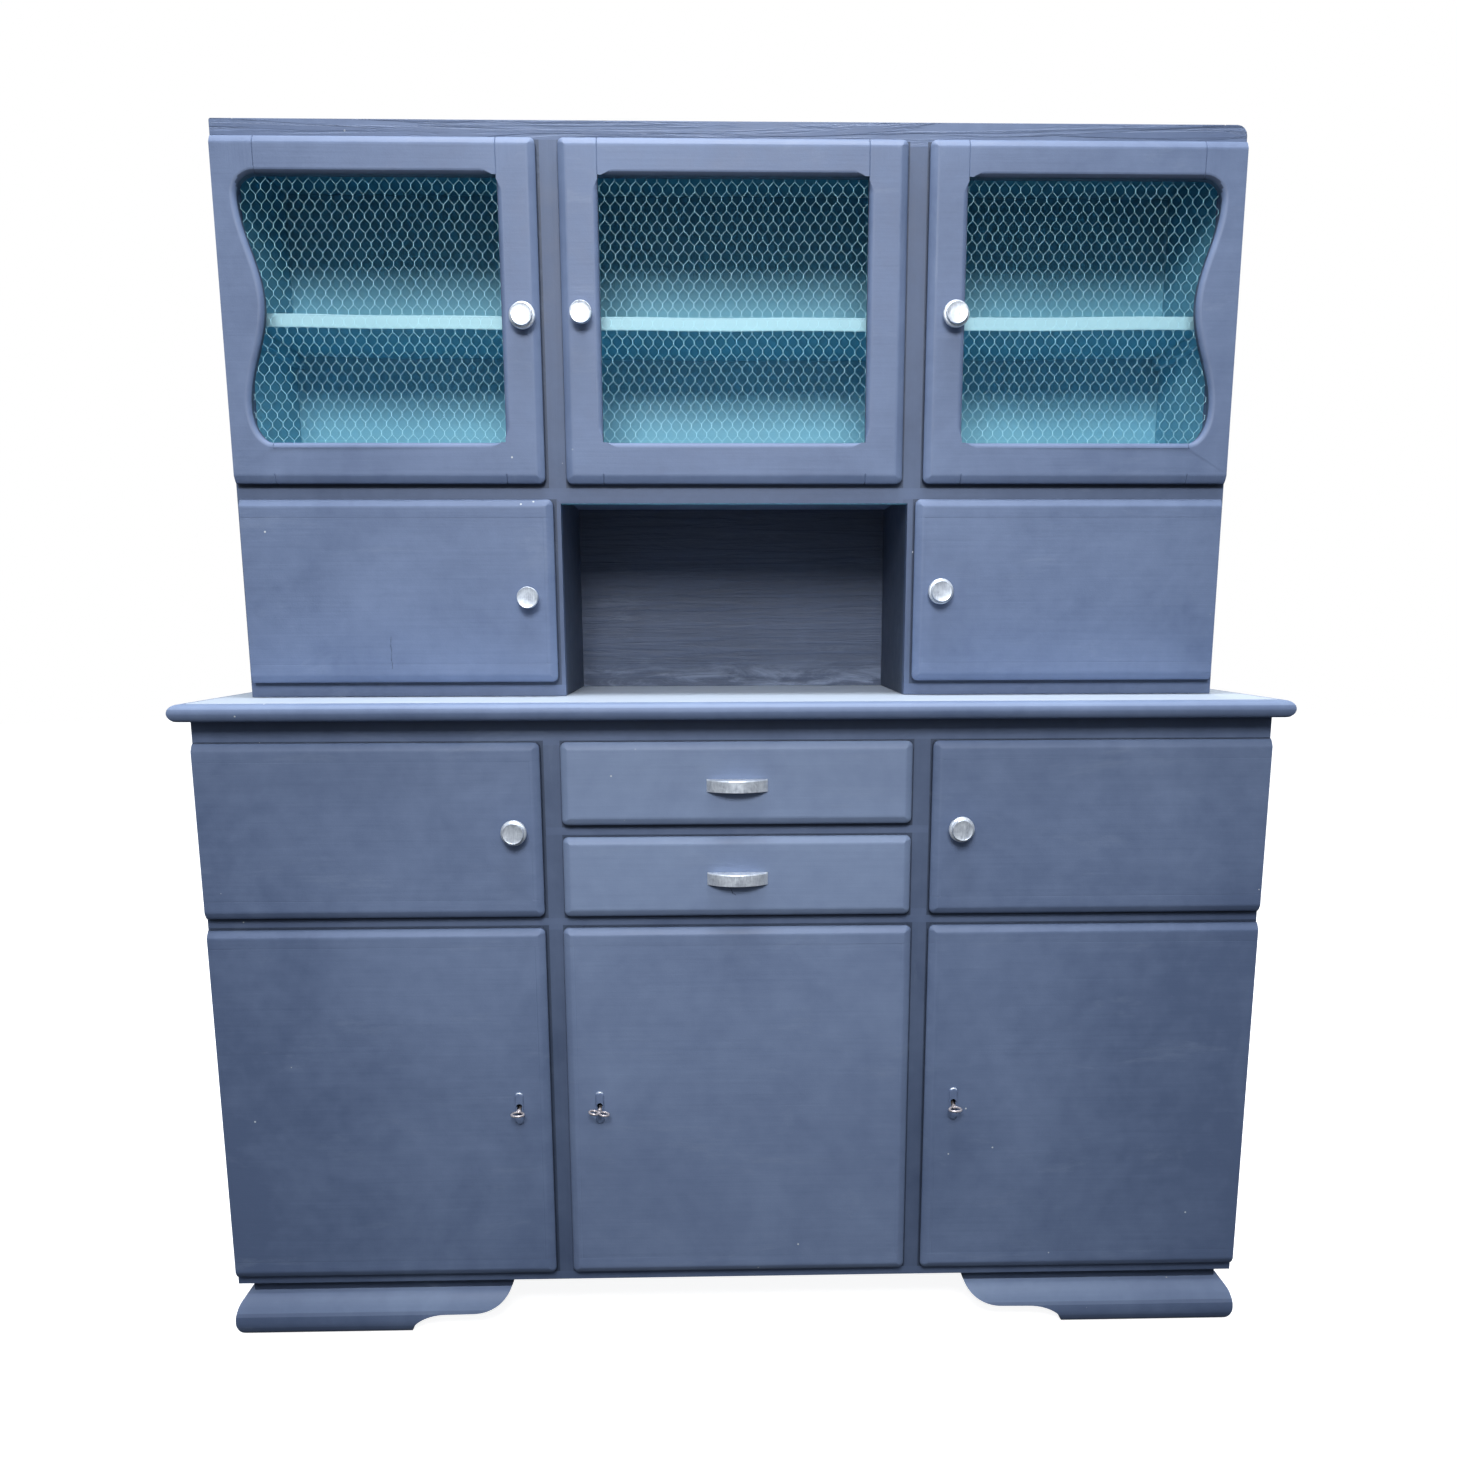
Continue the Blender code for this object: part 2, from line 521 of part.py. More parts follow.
def make_knobs():
    for word, (x, z, frame_y, stepped) in KNOBS.items():
        profile = ((0.0085, -GAP), (0.0070, -0.009), (0.0150, -0.0135), (0.0160, -0.016),
                   (0.0160, -0.021), (0.0150, -0.0225), (0.0110, -0.0205), (0.0040, -0.0195))
        if stepped:
            profile = ((0.0095, -GAP), (0.0085, -0.008), (0.0185, -0.0125), (0.0192, -0.0150),
                       (0.0185, -0.0175), (0.0155, -0.0185), (0.0152, -0.0240), (0.0142, -0.0255),
                       (0.0105, -0.0235), (0.0040, -0.0225))
        knob = lathe(profile, (x, frame_y - GAP - DOOR_T, z), 24)
        add(f"knob_{word}", knob, "aluminium")


clear_scene()
BUFFET = collection("kitchen_buffet", True)
CUTTERS = collection("cutters", False)
make_feet()
STILE = make_lower_case()
make_worktop()
make_upper_case()
make_mesh_doors()
make_plain_doors()
make_big_doors(STILE)
make_drawers(STILE)
make_knobs()
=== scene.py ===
"""Looks of the kitchen buffet: painted wood, netting doors, turned metal knobs, bow pulls and keys.

Metres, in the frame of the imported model. Every piece is built in that frame and rides on a body.
"""
import json
import math
import random

import bmesh
import bpy
import numpy as np
from mathutils import Matrix, Vector

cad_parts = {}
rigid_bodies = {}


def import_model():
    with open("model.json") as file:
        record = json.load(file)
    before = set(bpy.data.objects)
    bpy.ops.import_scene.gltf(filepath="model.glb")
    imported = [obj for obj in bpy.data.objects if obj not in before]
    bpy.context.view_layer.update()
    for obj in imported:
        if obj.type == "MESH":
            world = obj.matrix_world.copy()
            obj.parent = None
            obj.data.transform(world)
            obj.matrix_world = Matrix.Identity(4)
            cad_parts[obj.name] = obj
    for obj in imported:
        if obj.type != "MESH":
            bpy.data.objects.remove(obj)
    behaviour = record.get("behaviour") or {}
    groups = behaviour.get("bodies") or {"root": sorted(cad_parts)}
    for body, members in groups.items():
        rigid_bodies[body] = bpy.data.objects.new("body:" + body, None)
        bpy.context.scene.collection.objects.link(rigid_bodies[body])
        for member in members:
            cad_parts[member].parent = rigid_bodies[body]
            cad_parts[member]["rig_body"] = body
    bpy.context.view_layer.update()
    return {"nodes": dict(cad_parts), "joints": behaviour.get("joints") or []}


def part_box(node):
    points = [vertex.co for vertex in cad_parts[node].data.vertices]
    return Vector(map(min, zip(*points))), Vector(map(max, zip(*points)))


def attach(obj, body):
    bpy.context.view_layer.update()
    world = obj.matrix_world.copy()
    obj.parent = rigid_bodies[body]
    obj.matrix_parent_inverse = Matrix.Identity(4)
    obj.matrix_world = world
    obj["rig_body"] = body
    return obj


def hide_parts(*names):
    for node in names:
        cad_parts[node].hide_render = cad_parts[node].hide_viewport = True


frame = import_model()
NODES = frame["nodes"]
COLLECTION = bpy.context.scene.collection
GAP = 0.0003  # clearance between neighbouring CAD pieces

# Paint colours, linear
SLATE_DARK = (0.078, 0.112, 0.204)
SLATE_PALE = (0.156, 0.210, 0.340)
RUBBED = (0.22, 0.275, 0.38)
NICKED = (0.50, 0.54, 0.58)
SCUFFED = (0.20, 0.25, 0.36)
NICHE_SHADE = (0.022, 0.028, 0.044)
TEAL = (0.215, 0.530, 0.670)
TEAL_DARK = (0.155, 0.440, 0.590)
# painted light: the lit tone that the shelf's front edge is mixed toward
TEAL_PAINTED_LIGHT = (0.520, 0.830, 0.920)
# painted shade, mixed into the teal toward the top of the inside
TEAL_SHADE = (0.000, 0.140, 0.250)
WOOD_DARK = (0.36, 0.235, 0.125)
WOOD_PALE = (0.60, 0.45, 0.28)


# ---- shader building

class Shader:
    """A node material with short calls for the nodes that the finishes share."""

    def __init__(self, name, roughness=0.5, metallic=0.0, specular=0.5):
        self.material = bpy.data.materials.new(name)
        self.material.use_nodes = True
        self.tree = self.material.node_tree
        self.surface = self.tree.nodes["Principled BSDF"]
        self.surface.inputs["Roughness"].default_value = roughness
        self.surface.inputs["Metallic"].default_value = metallic
        self.surface.inputs["Specular IOR Level"].default_value = specular
        self.place = self.node("ShaderNodeTexCoord").outputs["Object"]
        self.normal = None

    def node(self, kind, inputs=(), **settings):
        made = self.tree.nodes.new(kind)
        for key, value in settings.items():
            setattr(made, key, value)
        for key, value in dict(inputs).items():
            self.feed(made.inputs[key], value)
        return made

    def feed(self, socket, value):
        if isinstance(value, bpy.types.NodeSocket):
            self.tree.links.new(value, socket)
        else:
            socket.default_value = value

    def axis(self, name):
        return self.node("ShaderNodeSeparateXYZ", {0: self.place}).outputs[name]

    def scaled(self, scale, turn=(0, 0, 0), shift=(0, 0, 0)):
        return self.node("ShaderNodeMapping", {"Vector": self.place, "Scale": scale, "Rotation": turn,
                                               "Location": shift}).outputs[0]

    def noise(self, scale, detail=3.0, roughness=0.5, distortion=0.0, place=None):
        return self.node("ShaderNodeTexNoise", {
            "Vector": place or self.place, "Scale": scale, "Detail": detail, "Roughness": roughness,
            "Distortion": distortion}).outputs[0]

    def math(self, operation, a, b=0.0):
        return self.node("ShaderNodeMath", {0: a, 1: b}, operation=operation).outputs[0]

    def span(self, value, low, high, to_low=0.0, to_high=1.0):
        return self.node("ShaderNodeMapRange", {
            "Value": value, "From Min": low, "From Max": high, "To Min": to_low,
            "To Max": to_high}).outputs[0]

    def total(self, *parts):
        """The sum of several spans, each given as a value and its four ends."""
        total = self.span(*parts[0])
        for part in parts[1:]:
            total = self.math("ADD", total, self.span(*part))
        return total

    def mix(self, factor, a, b):
        colours = [value if isinstance(value, bpy.types.NodeSocket) else (*value, 1) for value in (a, b)]
        return self.node("ShaderNodeMix", {0: factor, 6: colours[0], 7: colours[1]},
                         data_type="RGBA").outputs[2]

    def colour(self, value):
        self.feed(self.surface.inputs["Base Color"], value)

    def rough(self, value):
        self.feed(self.surface.inputs["Roughness"], value)

    def bump(self, height, distance, strength=1.0):
        inputs = {"Height": height, "Distance": distance, "Strength": strength}
        if self.normal:
            inputs["Normal"] = self.normal
        self.normal = self.node("ShaderNodeBump", inputs).outputs[0]
        self.feed(self.surface.inputs["Normal"], self.normal)


def scale_along(along, scale):
    """A texture scale that is given for marks along X, turned if they run along Z."""
    return scale if along == "X" else scale[::-1]


def brushed(shader, along):
    """Bristle marks that run along one axis. Returns their height."""
    strokes = shader.noise(1.0, 5.0, 0.6, place=shader.scaled(scale_along(along, (5, 160, 210))))
    shader.bump(strokes, 0.00018)
    return strokes


def make_slate(name, along, tones=(SLATE_DARK, SLATE_PALE), grain=0.0, foot=None):
    """Blue-grey eggshell paint with bristle marks, a cloudy tone, pale rubs and a few nicks, and painted
    shade toward the lower case's ends and bottom.

    Grain is how far open wood grain shows. Foot is the height of the niche's floor: the paint is
    scuffed just over it, and darkened higher up by painted shade.
    """
    shader = Shader(name, specular=0.34)
    strokes = brushed(shader, along)
    clouds = shader.noise(4.2, 4.0, 0.62, 0.6)
    mottle = shader.noise(38.0, 4.0, 0.6)
    tone = shader.total((clouds, 0.32, 0.68, 0.10, 0.50), (strokes, 0.30, 0.70, 0.0, 0.10),
                        (mottle, 0.30, 0.70, 0.0, 0.20))
    height = shader.axis("Z")
    # Painted shade: below 0.95 m the tone is pulled darker toward the case's ends and toward the bottom,
    # for the light falling off there.
    ends = shader.span(shader.math("ABSOLUTE", shader.axis("X")), 0.48, 0.82, 0.0, 0.42)
    painted_falloff_shade = shader.math("ADD", ends, shader.span(height, 0.45, 0.10, 0.0, 0.12))
    painted_falloff_shade = shader.math("MULTIPLY", painted_falloff_shade, shader.span(height, 0.70, 0.95, 1.0, 0.0))
    colour = shader.mix(shader.math("SUBTRACT", tone, painted_falloff_shade), *tones)
    wiped = shader.scaled(scale_along(along, (0.7, 1.0, 2.6)), shift=(3.1, 0, 7.7))
    rubs = shader.span(shader.noise(7.0, 7.0, 0.70, 0.5, place=wiped), 0.58, 0.76, 0.0, 0.28)
    colour = shader.mix(rubs, colour, RUBBED)
    cells = shader.node("ShaderNodeTexVoronoi", {"Vector": shader.place, "Scale": 26.0})
    near = shader.span(cells.outputs["Distance"], 0.030, 0.042, 1.0, 0.0)
    few = shader.span(shader.noise(2.3, 1.0), 0.57, 0.60)
    colour = shader.mix(shader.math("MULTIPLY", near, few), colour, NICKED)
    if grain:
        figure = shader.scaled(scale_along(along, (2.2, 60, 62)))
        lines = shader.span(shader.noise(1.0, 5.0, 0.62, 1.6, place=figure), 0.46, 0.58)
        shader.bump(lines, 0.0009 * grain)
        colour = shader.mix(shader.math("MULTIPLY", lines, 0.45 * grain), colour, SLATE_DARK)
    if foot:
        low = shader.span(height, foot, foot + 0.045, 1.0, 0.0)
        marks = shader.noise(1.0, 6.0, 0.7, 0.8, place=shader.scaled((9, 9, 42)))
        scuffs = shader.math("MULTIPLY", low, shader.span(marks, 0.46, 0.66))
        colour = shader.mix(scuffs, colour, SCUFFED)
        # Painted shade: higher up, the niche's back is mixed toward the dark shade colour, for the
        # shadow under the niche's roof.
        painted_niche_shade = shader.span(height, foot + 0.08, foot + 0.26, 0.0, 0.55)
        colour = shader.mix(painted_niche_shade, colour, NICHE_SHADE)
        shader.bump(marks, 0.0016)
    shader.colour(colour)
    shader.bump(shader.noise(26.0, 3.0, 0.5), 0.00045, 0.6)
    shader.bump(shader.noise(420.0, 2.0, 0.5), 0.00009)
    shader.rough(shader.total((mottle, 0.3, 0.7, 0.48, 0.58), (clouds, 0.3, 0.7, -0.03, 0.05)))
    return shader.material


def make_teal(name, pale=0.0):
    """Matt blue-green paint of the inside, darkened toward the top by painted shade."""
    shader = Shader(name, specular=0.35)
    strokes = brushed(shader, "X")
    clouds = shader.noise(6.0, 4.0, 0.6, 0.5)
    tone = shader.total((clouds, 0.3, 0.7, 0.0, 0.7), (strokes, 0.3, 0.7, 0.0, 0.3))
    # Painted light: pale mixes the teal toward a lit tone.
    light = [a + (b - a) * pale for a, b in zip(TEAL, TEAL_PAINTED_LIGHT)]
    dark = [a + (b - a) * pale * 0.8 for a, b in zip(TEAL_DARK, TEAL_PAINTED_LIGHT)]
    # Painted shade: from 1.60 m up the teal is mixed toward the dark shade colour, for the shade under
    # the lid.
    height = shader.math("ADD", shader.axis("Z"), shader.span(clouds, 0.3, 0.7, -0.015, 0.015))
    painted_top_shade = shader.span(height, 1.60, 1.78, 0.0, 0.56)
    shader.colour(shader.mix(painted_top_shade, shader.mix(tone, dark, light), TEAL_SHADE))
    shader.rough(shader.span(clouds, 0.3, 0.7, 0.48, 0.60))
    return shader.material


def make_laminate():
    """Pale cool laminate with a fine speckle, faint stains and fine scratches."""
    shader = Shader("laminate_sheet", specular=0.5)
    stains = shader.noise(5.0, 5.0, 0.6, 1.0)
    speckle = shader.noise(520.0, 2.0, 0.5)
    tone = shader.total((stains, 0.35, 0.75, 0.0, 0.55), (speckle, 0.35, 0.65, 0.0, 0.25))
    shader.colour(shader.mix(tone, (0.48, 0.545, 0.64), (0.36, 0.425, 0.53)))
    scratches = shader.noise(1.0, 3.0, 0.6, place=shader.scaled((18, 900, 20), (0, 0, 0.4)))
    shader.bump(shader.span(scratches, 0.66, 0.70), 0.00005)
    shader.rough(shader.span(stains, 0.3, 0.7, 0.34, 0.50))
    return shader.material


def make_wood(name, along, dark=WOOD_DARK, light=WOOD_PALE):
    """Bare softwood with its rings drawn out along the board."""
    shader = Shader(name, specular=0.3)
    stretch = {"X": (1.6, 26, 26), "Y": (26, 1.6, 26), "Z": (26, 26, 1.6)}[along]
    rings = shader.noise(1.0, 6.0, 0.62, 1.9, place=shader.scaled(stretch))
    fibre_stretch = [value * 16 if value > 10 else value * 3 for value in stretch]
    fibre = shader.noise(1.0, 4.0, 0.6, place=shader.scaled(fibre_stretch))
    bands = shader.math("FRACT", shader.math("MULTIPLY", rings, 7.0))
    tone = shader.total((bands, 0.0, 1.0, 0.0, 0.6), (fibre, 0.3, 0.7, 0.0, 0.4))
    shader.colour(shader.mix(tone, dark, light))
    shader.bump(shader.math("ADD", fibre, shader.math("MULTIPLY", bands, 0.4)), 0.00025)
    shader.rough(shader.span(fibre, 0.3, 0.7, 0.60, 0.78))
    return shader.material


def make_metal(name, dark, light, rough, grain=(60, 60, 60), metallic=0.92):
    """Worn metal with a dull bloom and fine scratches."""
    shader = Shader(name, metallic=metallic)
    bloom = shader.noise(90.0, 5.0, 0.65, 0.8)
    scratch = shader.noise(1.0, 4.0, 0.7, 0.3, place=shader.scaled(grain))
    tone = shader.total((bloom, 0.35, 0.65, 0.0, 0.6), (scratch, 0.35, 0.65, 0.0, 0.4))
    shader.colour(shader.mix(tone, dark, light))
    shader.bump(scratch, 0.00008)
    shader.rough(shader.total((bloom, 0.3, 0.7, rough - 0.08, rough + 0.08),
                              (scratch, 0.3, 0.7, -0.05, 0.05)))
    return shader.material


SLATE_X = make_slate("slate_across", "X")
# Paler slate of the drawer fronts; on the feet and the worktop's nose it is a painted highlight on faces
# that look up.
SLATE_PALER_AND_HIGHLIGHT = make_slate("slate_drawer_fronts", "X", ((0.128, 0.172, 0.288), (0.205, 0.272, 0.412)))
SLATE_MID = make_slate("slate_centre_door", "X", ((0.100, 0.138, 0.242), (0.172, 0.230, 0.362)))
# Painted shade: the niche's back has tones about half those of the usual slate, for the shade inside the
# niche.
SLATE_NICHE_SHADED = make_slate("slate_niche_back", "X", ((0.038, 0.054, 0.096), (0.084, 0.110, 0.176)),
                         grain=0.45, foot=1.026)
# Painted shade: near-black slate for door sides, the top cove of the netting openings, strips round the
# fronts on the face frames and the feet's necks, where shade falls; the hairline cracks in the paint use
# it too.
SLATE_SHADE_AND_CRACKS = make_slate("slate_door_edges", "X", ((0.030, 0.044, 0.082), (0.060, 0.084, 0.140)))
# Painted shade: the niche's sides have dark slate tones, for the shade inside the niche.
SLATE_NICHE_SIDES_SHADED = make_slate("slate_niche_sides", "Z", ((0.037, 0.052, 0.086), (0.066, 0.087, 0.132)))
# Painted highlight: pale slate for the tops of the feet, which face up to the light.
SLATE_FOOT_HIGHLIGHT = make_slate("slate_foot_tops", "X", ((0.165, 0.222, 0.365), (0.262, 0.346, 0.520)))
# Slate darker than the fronts' for the face frames; on the feet's downward faces it is a painted shade.
SLATE_FRAME_X = make_slate("slate_frame_rails", "X", ((0.064, 0.092, 0.170), (0.122, 0.166, 0.274)))
SLATE_FRAME_Z = make_slate("slate_frame_stiles", "Z", ((0.056, 0.081, 0.150), (0.108, 0.148, 0.246)))
SLATE_Z = make_slate("slate_upright", "Z")
SLATE_GRAIN = make_slate("slate_open_grain", "X", grain=1.0)
TEAL_IN = make_teal("teal_inside")
# Painted light: the shelf's front edge is teal mixed toward a lit tone.
TEAL_EDGE_LIT = make_teal("teal_shelf_edge", 0.8)
LAMINATE = make_laminate()
WOOD_X = make_wood("bare_wood_across", "X")
WOOD_Y = make_wood("bare_wood_deep", "Y")
WOOD_Z = make_wood("bare_wood_upright", "Z")
BACKING = make_wood("backing_board", "Z", (0.250, 0.158, 0.088), (0.400, 0.272, 0.162))
ALUMINIUM = make_metal("satin_aluminium", (0.40, 0.45, 0.54), (0.80, 0.86, 0.94), 0.36,
                       (900, 300, 60), metallic=0.55)
WIRE = make_metal("galvanised_wire", (0.32, 0.66, 0.80), (0.52, 0.86, 0.97), 0.55, metallic=0.0)
STEEL = make_metal("key_steel", (0.30, 0.27, 0.28), (0.68, 0.63, 0.65), 0.36, metallic=0.6)
LOCK_STEEL = make_metal("lock_steel", (0.16, 0.15, 0.14), (0.34, 0.32, 0.30), 0.50)


# ---- mesh building

def body_of(node):
    return NODES[node]["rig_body"]


def linked(name, bm, material=None):
    """Turns a bmesh into an object in the scene, and frees it."""
    mesh = bpy.data.meshes.new(name)
    bm.to_mesh(mesh)
    bm.free()
    if material:
        mesh.materials.append(material)
    made = bpy.data.objects.new(name, mesh)
    COLLECTION.objects.link(made)
    return made


def drop_custom_normals(mesh):
    """Takes off the normals that come with a CAD mesh, so that new ones are worked out."""
    if "custom_normal" in mesh.attributes:
        mesh.attributes.remove(mesh.attributes["custom_normal"])


def piece(name, bm, body, materials, replaces=(), least_angle=32):
    """Turns a bmesh into a piece that rides on a body, with soft edges shaded soft."""
    bmesh.ops.recalc_face_normals(bm, faces=bm.faces)
    made = linked(name, bm)
    mesh = made.data
    drop_custom_normals(mesh)
    for material in materials:
        mesh.materials.append(material)
    mesh.polygons.foreach_set("use_smooth", [True] * len(mesh.polygons))
    mesh.set_sharp_from_angle(angle=math.radians(least_angle))
    shading = made.modifiers.new("even_normals", "WEIGHTED_NORMAL")
    shading.keep_sharp = True
    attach(made, body)
    if replaces:
        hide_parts(*replaces)


def boolean(bm, other):
    """Cuts one bmesh with another, and gives back the result as a new bmesh."""
    objects = []
    for shape in (bm, other):
        bmesh.ops.recalc_face_normals(shape, faces=shape.faces)
        objects.append(linked("boolean_part", shape))
    modifier = objects[0].modifiers.new("cut", "BOOLEAN")
    modifier.operation, modifier.solver, modifier.object = "DIFFERENCE", "EXACT", objects[1]
    graph = bpy.context.evaluated_depsgraph_get()
    result = bmesh.new()
    result.from_mesh(objects[0].evaluated_get(graph).to_mesh())
    for made in objects:
        mesh = made.data
        bpy.data.objects.remove(made)
        bpy.data.meshes.remove(mesh)
    return result


def block(lo, hi):
    bm = bmesh.new()
    size = Vector(hi) - Vector(lo)
    bmesh.ops.create_cube(bm, size=1, matrix=Matrix.Diagonal((*size, 1)))
    bmesh.ops.translate(bm, verts=bm.verts, vec=(Vector(lo) + Vector(hi)) / 2)
    return bm


def soften(bm, width):
    """Rounds every sharp edge by a little."""
    sharp = [edge for edge in bm.edges
             if len(edge.link_faces) == 2 and edge.calc_face_angle() > math.radians(30)]
    bmesh.ops.bevel(bm, geom=sharp, offset=width, segments=2, profile=0.5, affect="EDGES")
    return bm


def split_on(bm, axis, at, geom=None):
    """Splits the faces that cross the plane where an axis is at this value."""
    place, normal = [0, 0, 0], [0, 0, 0]
    place[axis], normal[axis] = at, 1
    if geom is None:
        geom = bm.verts[:] + bm.edges[:] + bm.faces[:]
    bmesh.ops.bisect_plane(bm, geom=geom, dist=1e-7, plane_co=place, plane_no=normal)


def paint_faces(bm, chooser):
    """Sets each face's material to the number that the chooser gives for its normal and centre."""
    for face in bm.faces:
        face.normal_update()
        face.material_index = int(chooser(face.normal, face.calc_center_median()))


def from_cad(node):
    """A welded copy of a CAD node's mesh, its flat faces made whole."""
    bm = bmesh.new()
    bm.from_mesh(NODES[node].data)
    bmesh.ops.remove_doubles(bm, verts=bm.verts, dist=2e-5)
    bmesh.ops.dissolve_limit(bm, angle_limit=0.01, verts=bm.verts, edges=bm.edges)
    for face in bm.faces:
        face.material_index = 0
    return bm


def loft(rings, closed=True):
    """A solid through rings of equally many points."""
    bm = bmesh.new()
    rows = [[bm.verts.new(point) for point in ring] for ring in rings]
    for low, high in zip(rows, rows[1:]):
        for i in range(len(low)):
            j = (i + 1) % len(low)
            bm.faces.new((low[i], low[j], high[j], high[i]))
    if closed:
        bm.faces.new(rows[0])
        bm.faces.new(rows[-1])
    return bm


def join(shapes):
    """Several closed shapes in one bmesh."""
    made = bmesh.new()
    for shape in shapes:
        mesh = bpy.data.meshes.new("joined_part")
        shape.to_mesh(mesh)
        shape.free()
        made.from_mesh(mesh)
        bpy.data.meshes.remove(mesh)
    return made


def arc(centre, radii, start, end, steps):
    turn = [math.radians(start + (end - start) * i / steps) for i in range(steps + 1)]
    return [(centre[0] + radii[0] * math.cos(a), centre[1] + radii[1] * math.sin(a)) for a in turn]


def around(count):
    """Angles evenly round a circle."""
    return [2 * math.pi * i / count for i in range(count)]


def curved(points, per):
    """A smooth line through these points, as Catmull-Rom pieces."""
    ends = [Vector(p) for p in (points[0], *points, points[-1])]
    line = []
    for a, b, c, d in zip(ends, ends[1:], ends[2:], ends[3:]):
        for i in range(per):
            t = i / per
            line.append(((b * 2) + (c - a) * t + (a * 2 - b * 5 + c * 4 - d) * t ** 2
                         + (b * 3 - a - c * 3 + d) * t ** 3) / 2)
    return line + [ends[-1]]


def lathe(profile, centre, steps):
    """Turns a profile of (radius, y) points about an axis along Y."""
    return loft([[(centre[0] + radius * math.cos(a), centre[1] + y, centre[2] + radius * math.sin(a))
                  for a in around(steps)] for radius, y in profile])


def score(bm, axis, at, test, width=0.0016, depth=0.0014):
    """Presses a fine V line into the surface on the plane where an axis is at this value."""
    for shift in (-width / 2, 0.0, width / 2):
        parts = [face for face in bm.faces if test(face.calc_center_median())]
        touched = parts + list({edge for face in parts for edge in face.edges})
        touched += list({vert for face in parts for vert in face.verts})
        split_on(bm, axis, at + shift, touched)
    bm.normal_update()
    on_line = [vert for vert in bm.verts if abs(vert.co[axis] - at) < 1e-6 and test(vert.co)]
    for vert, inward in [(vert, vert.normal * depth) for vert in on_line]:
        vert.co -= inward


def tube(points, radius, sides, closed=False):
    """A round bar along these points."""
    path = [Vector(p) for p in points]
    count, rings = len(path), []
    for i, here in enumerate(path):
        ahead = path[(i + 1) % count] if closed or i + 1 < count else here
        behind = path[i - 1] if closed or i else here
        along = (ahead - behind).normalized()
        side = along.cross(Vector((0, 0, 1))).normalized()
        out = side.cross(along)
        rings.append([here + (side * math.cos(a) + out * math.sin(a)) * radius for a in around(sides)])
    if closed:
        return loft(rings + rings[:1], closed=False)
    return loft(rings)


# ---- doors and drawer fronts

FRONT_IN, FRONT_DEEP = 0.0112, 0.0092  # width and depth of the round at the front edge
FRONT_FLAT = 0.0028  # how far inside that round the flat face starts
BACK_R, CORNER_R = 0.004, 0.0095
CASE_END_X = 0.73  # a door's edge beyond this is at the case's end
OPEN_IN = 0.0103  # from the edge of a netting sheet to the opening
SCROLL, SCROLL_Z = 0.0145, (1.449, 1.738)  # half the height of the scroll's waves, and its span
JOINT_X = (0.341, 0.685)  # where the rails of an outer netting door meet its stiles
COVE_R = 0.008
FADE = ((0.006, 0.0), (0.010, 0.3), (0.014, 0.6), (0.018, 0.85), (0.022, 1.0))
LOCK_UP = 0.019  # from the foot of a lock case to its key
KEYHOLE_R, KEYHOLE_UP = 0.0043, 0.0060


def panel_ring(xs, zs, inset, y, square):
    """The outline of a panel drawn in by an inset, rounded where its edges aren't square."""
    radius = max(CORNER_R - inset, 0.0004)
    x0, x1 = (x if x in square else x + move for x, move in zip(xs, (inset, -inset)))
    z0, z1 = zs[0] + inset, zs[1] - inset
    middle_x, middle_z = sum(xs) / 2, sum(zs) / 2
    ring = []
    for x, z, start, edge in ((x1, z0, -90, xs[1]), (x1, z1, 0, xs[1]),
                              (x0, z1, 90, xs[0]), (x0, z0, 180, xs[0])):
        if edge in square:
            ring.append((x, y, z))
            continue
        centre = (x - math.copysign(radius, x - middle_x), z - math.copysign(radius, z - middle_z))
        ring += [(px, y, pz) for px, pz in arc(centre, (radius, radius), start, start + 90, 6)]
    return ring


def panel(xs, zs, ys, square=()):
    """A door or drawer front, rounded over at the front and eased at the back."""
    levels = [(BACK_R * (1 - math.sin(a)), ys[1] - BACK_R * (1 - math.cos(a)))
              for a in (math.radians(30 * i) for i in range(4))]
    levels += [(FRONT_IN * t ** 1.4, ys[0] + FRONT_DEEP * (1 - t ** 0.8))
               for t in (i / 10 for i in range(11))]
    levels.append((FRONT_IN + FRONT_FLAT, ys[0]))
    return loft([panel_ring(xs, zs, inset, y, square) for inset, y in levels])


def node_panel(node, side):
    """The panel of a CAD node, square at the side where it meets the case's end."""
    lo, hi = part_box(node)
    square = {-1: (lo.x,), 0: (), 1: (hi.x,)}[side]
    return panel((lo.x, hi.x), (lo.z, hi.z), (lo.y, hi.y), square), lo, hi


def is_rim(normal, centre, front):
    """Whether a face is on the narrow side of a door or of its opening, not at the case's end."""
    deep = centre.y > front + FRONT_DEEP * 0.8
    return deep and abs(normal.y) < 0.5 and abs(centre.x) <= CASE_END_X


def faded(x, z, dx, dz):
    """Points that lead away from an opening's corner, each with how fully it is rounded over."""
    return [(x + dx * d, z + dz * d, full) for d, full in FADE]


def opening_scroll(xs, zs):
    """The scrolled side of an outer netting door's opening, from its foot to its top."""
    middle, run, crest = sum(SCROLL_Z) / 2, SCROLL_Z[1] - SCROLL_Z[0], 2 * SCROLL
    line = arc((xs[1], SCROLL_Z[0]), (crest, SCROLL_Z[0] - zs[0]), -90, 0, 12)
    line += [(xs[1] + SCROLL * (1 - math.cos(2 * math.pi * (z - middle) / run)), z)
             for z in (SCROLL_Z[0] + run * i / 48 for i in range(1, 48))]
    line += arc((xs[1], SCROLL_Z[1]), (crest, zs[1] - SCROLL_Z[1]), 0, 90, 12)
    return [(x, z, 1) for x, z in line]


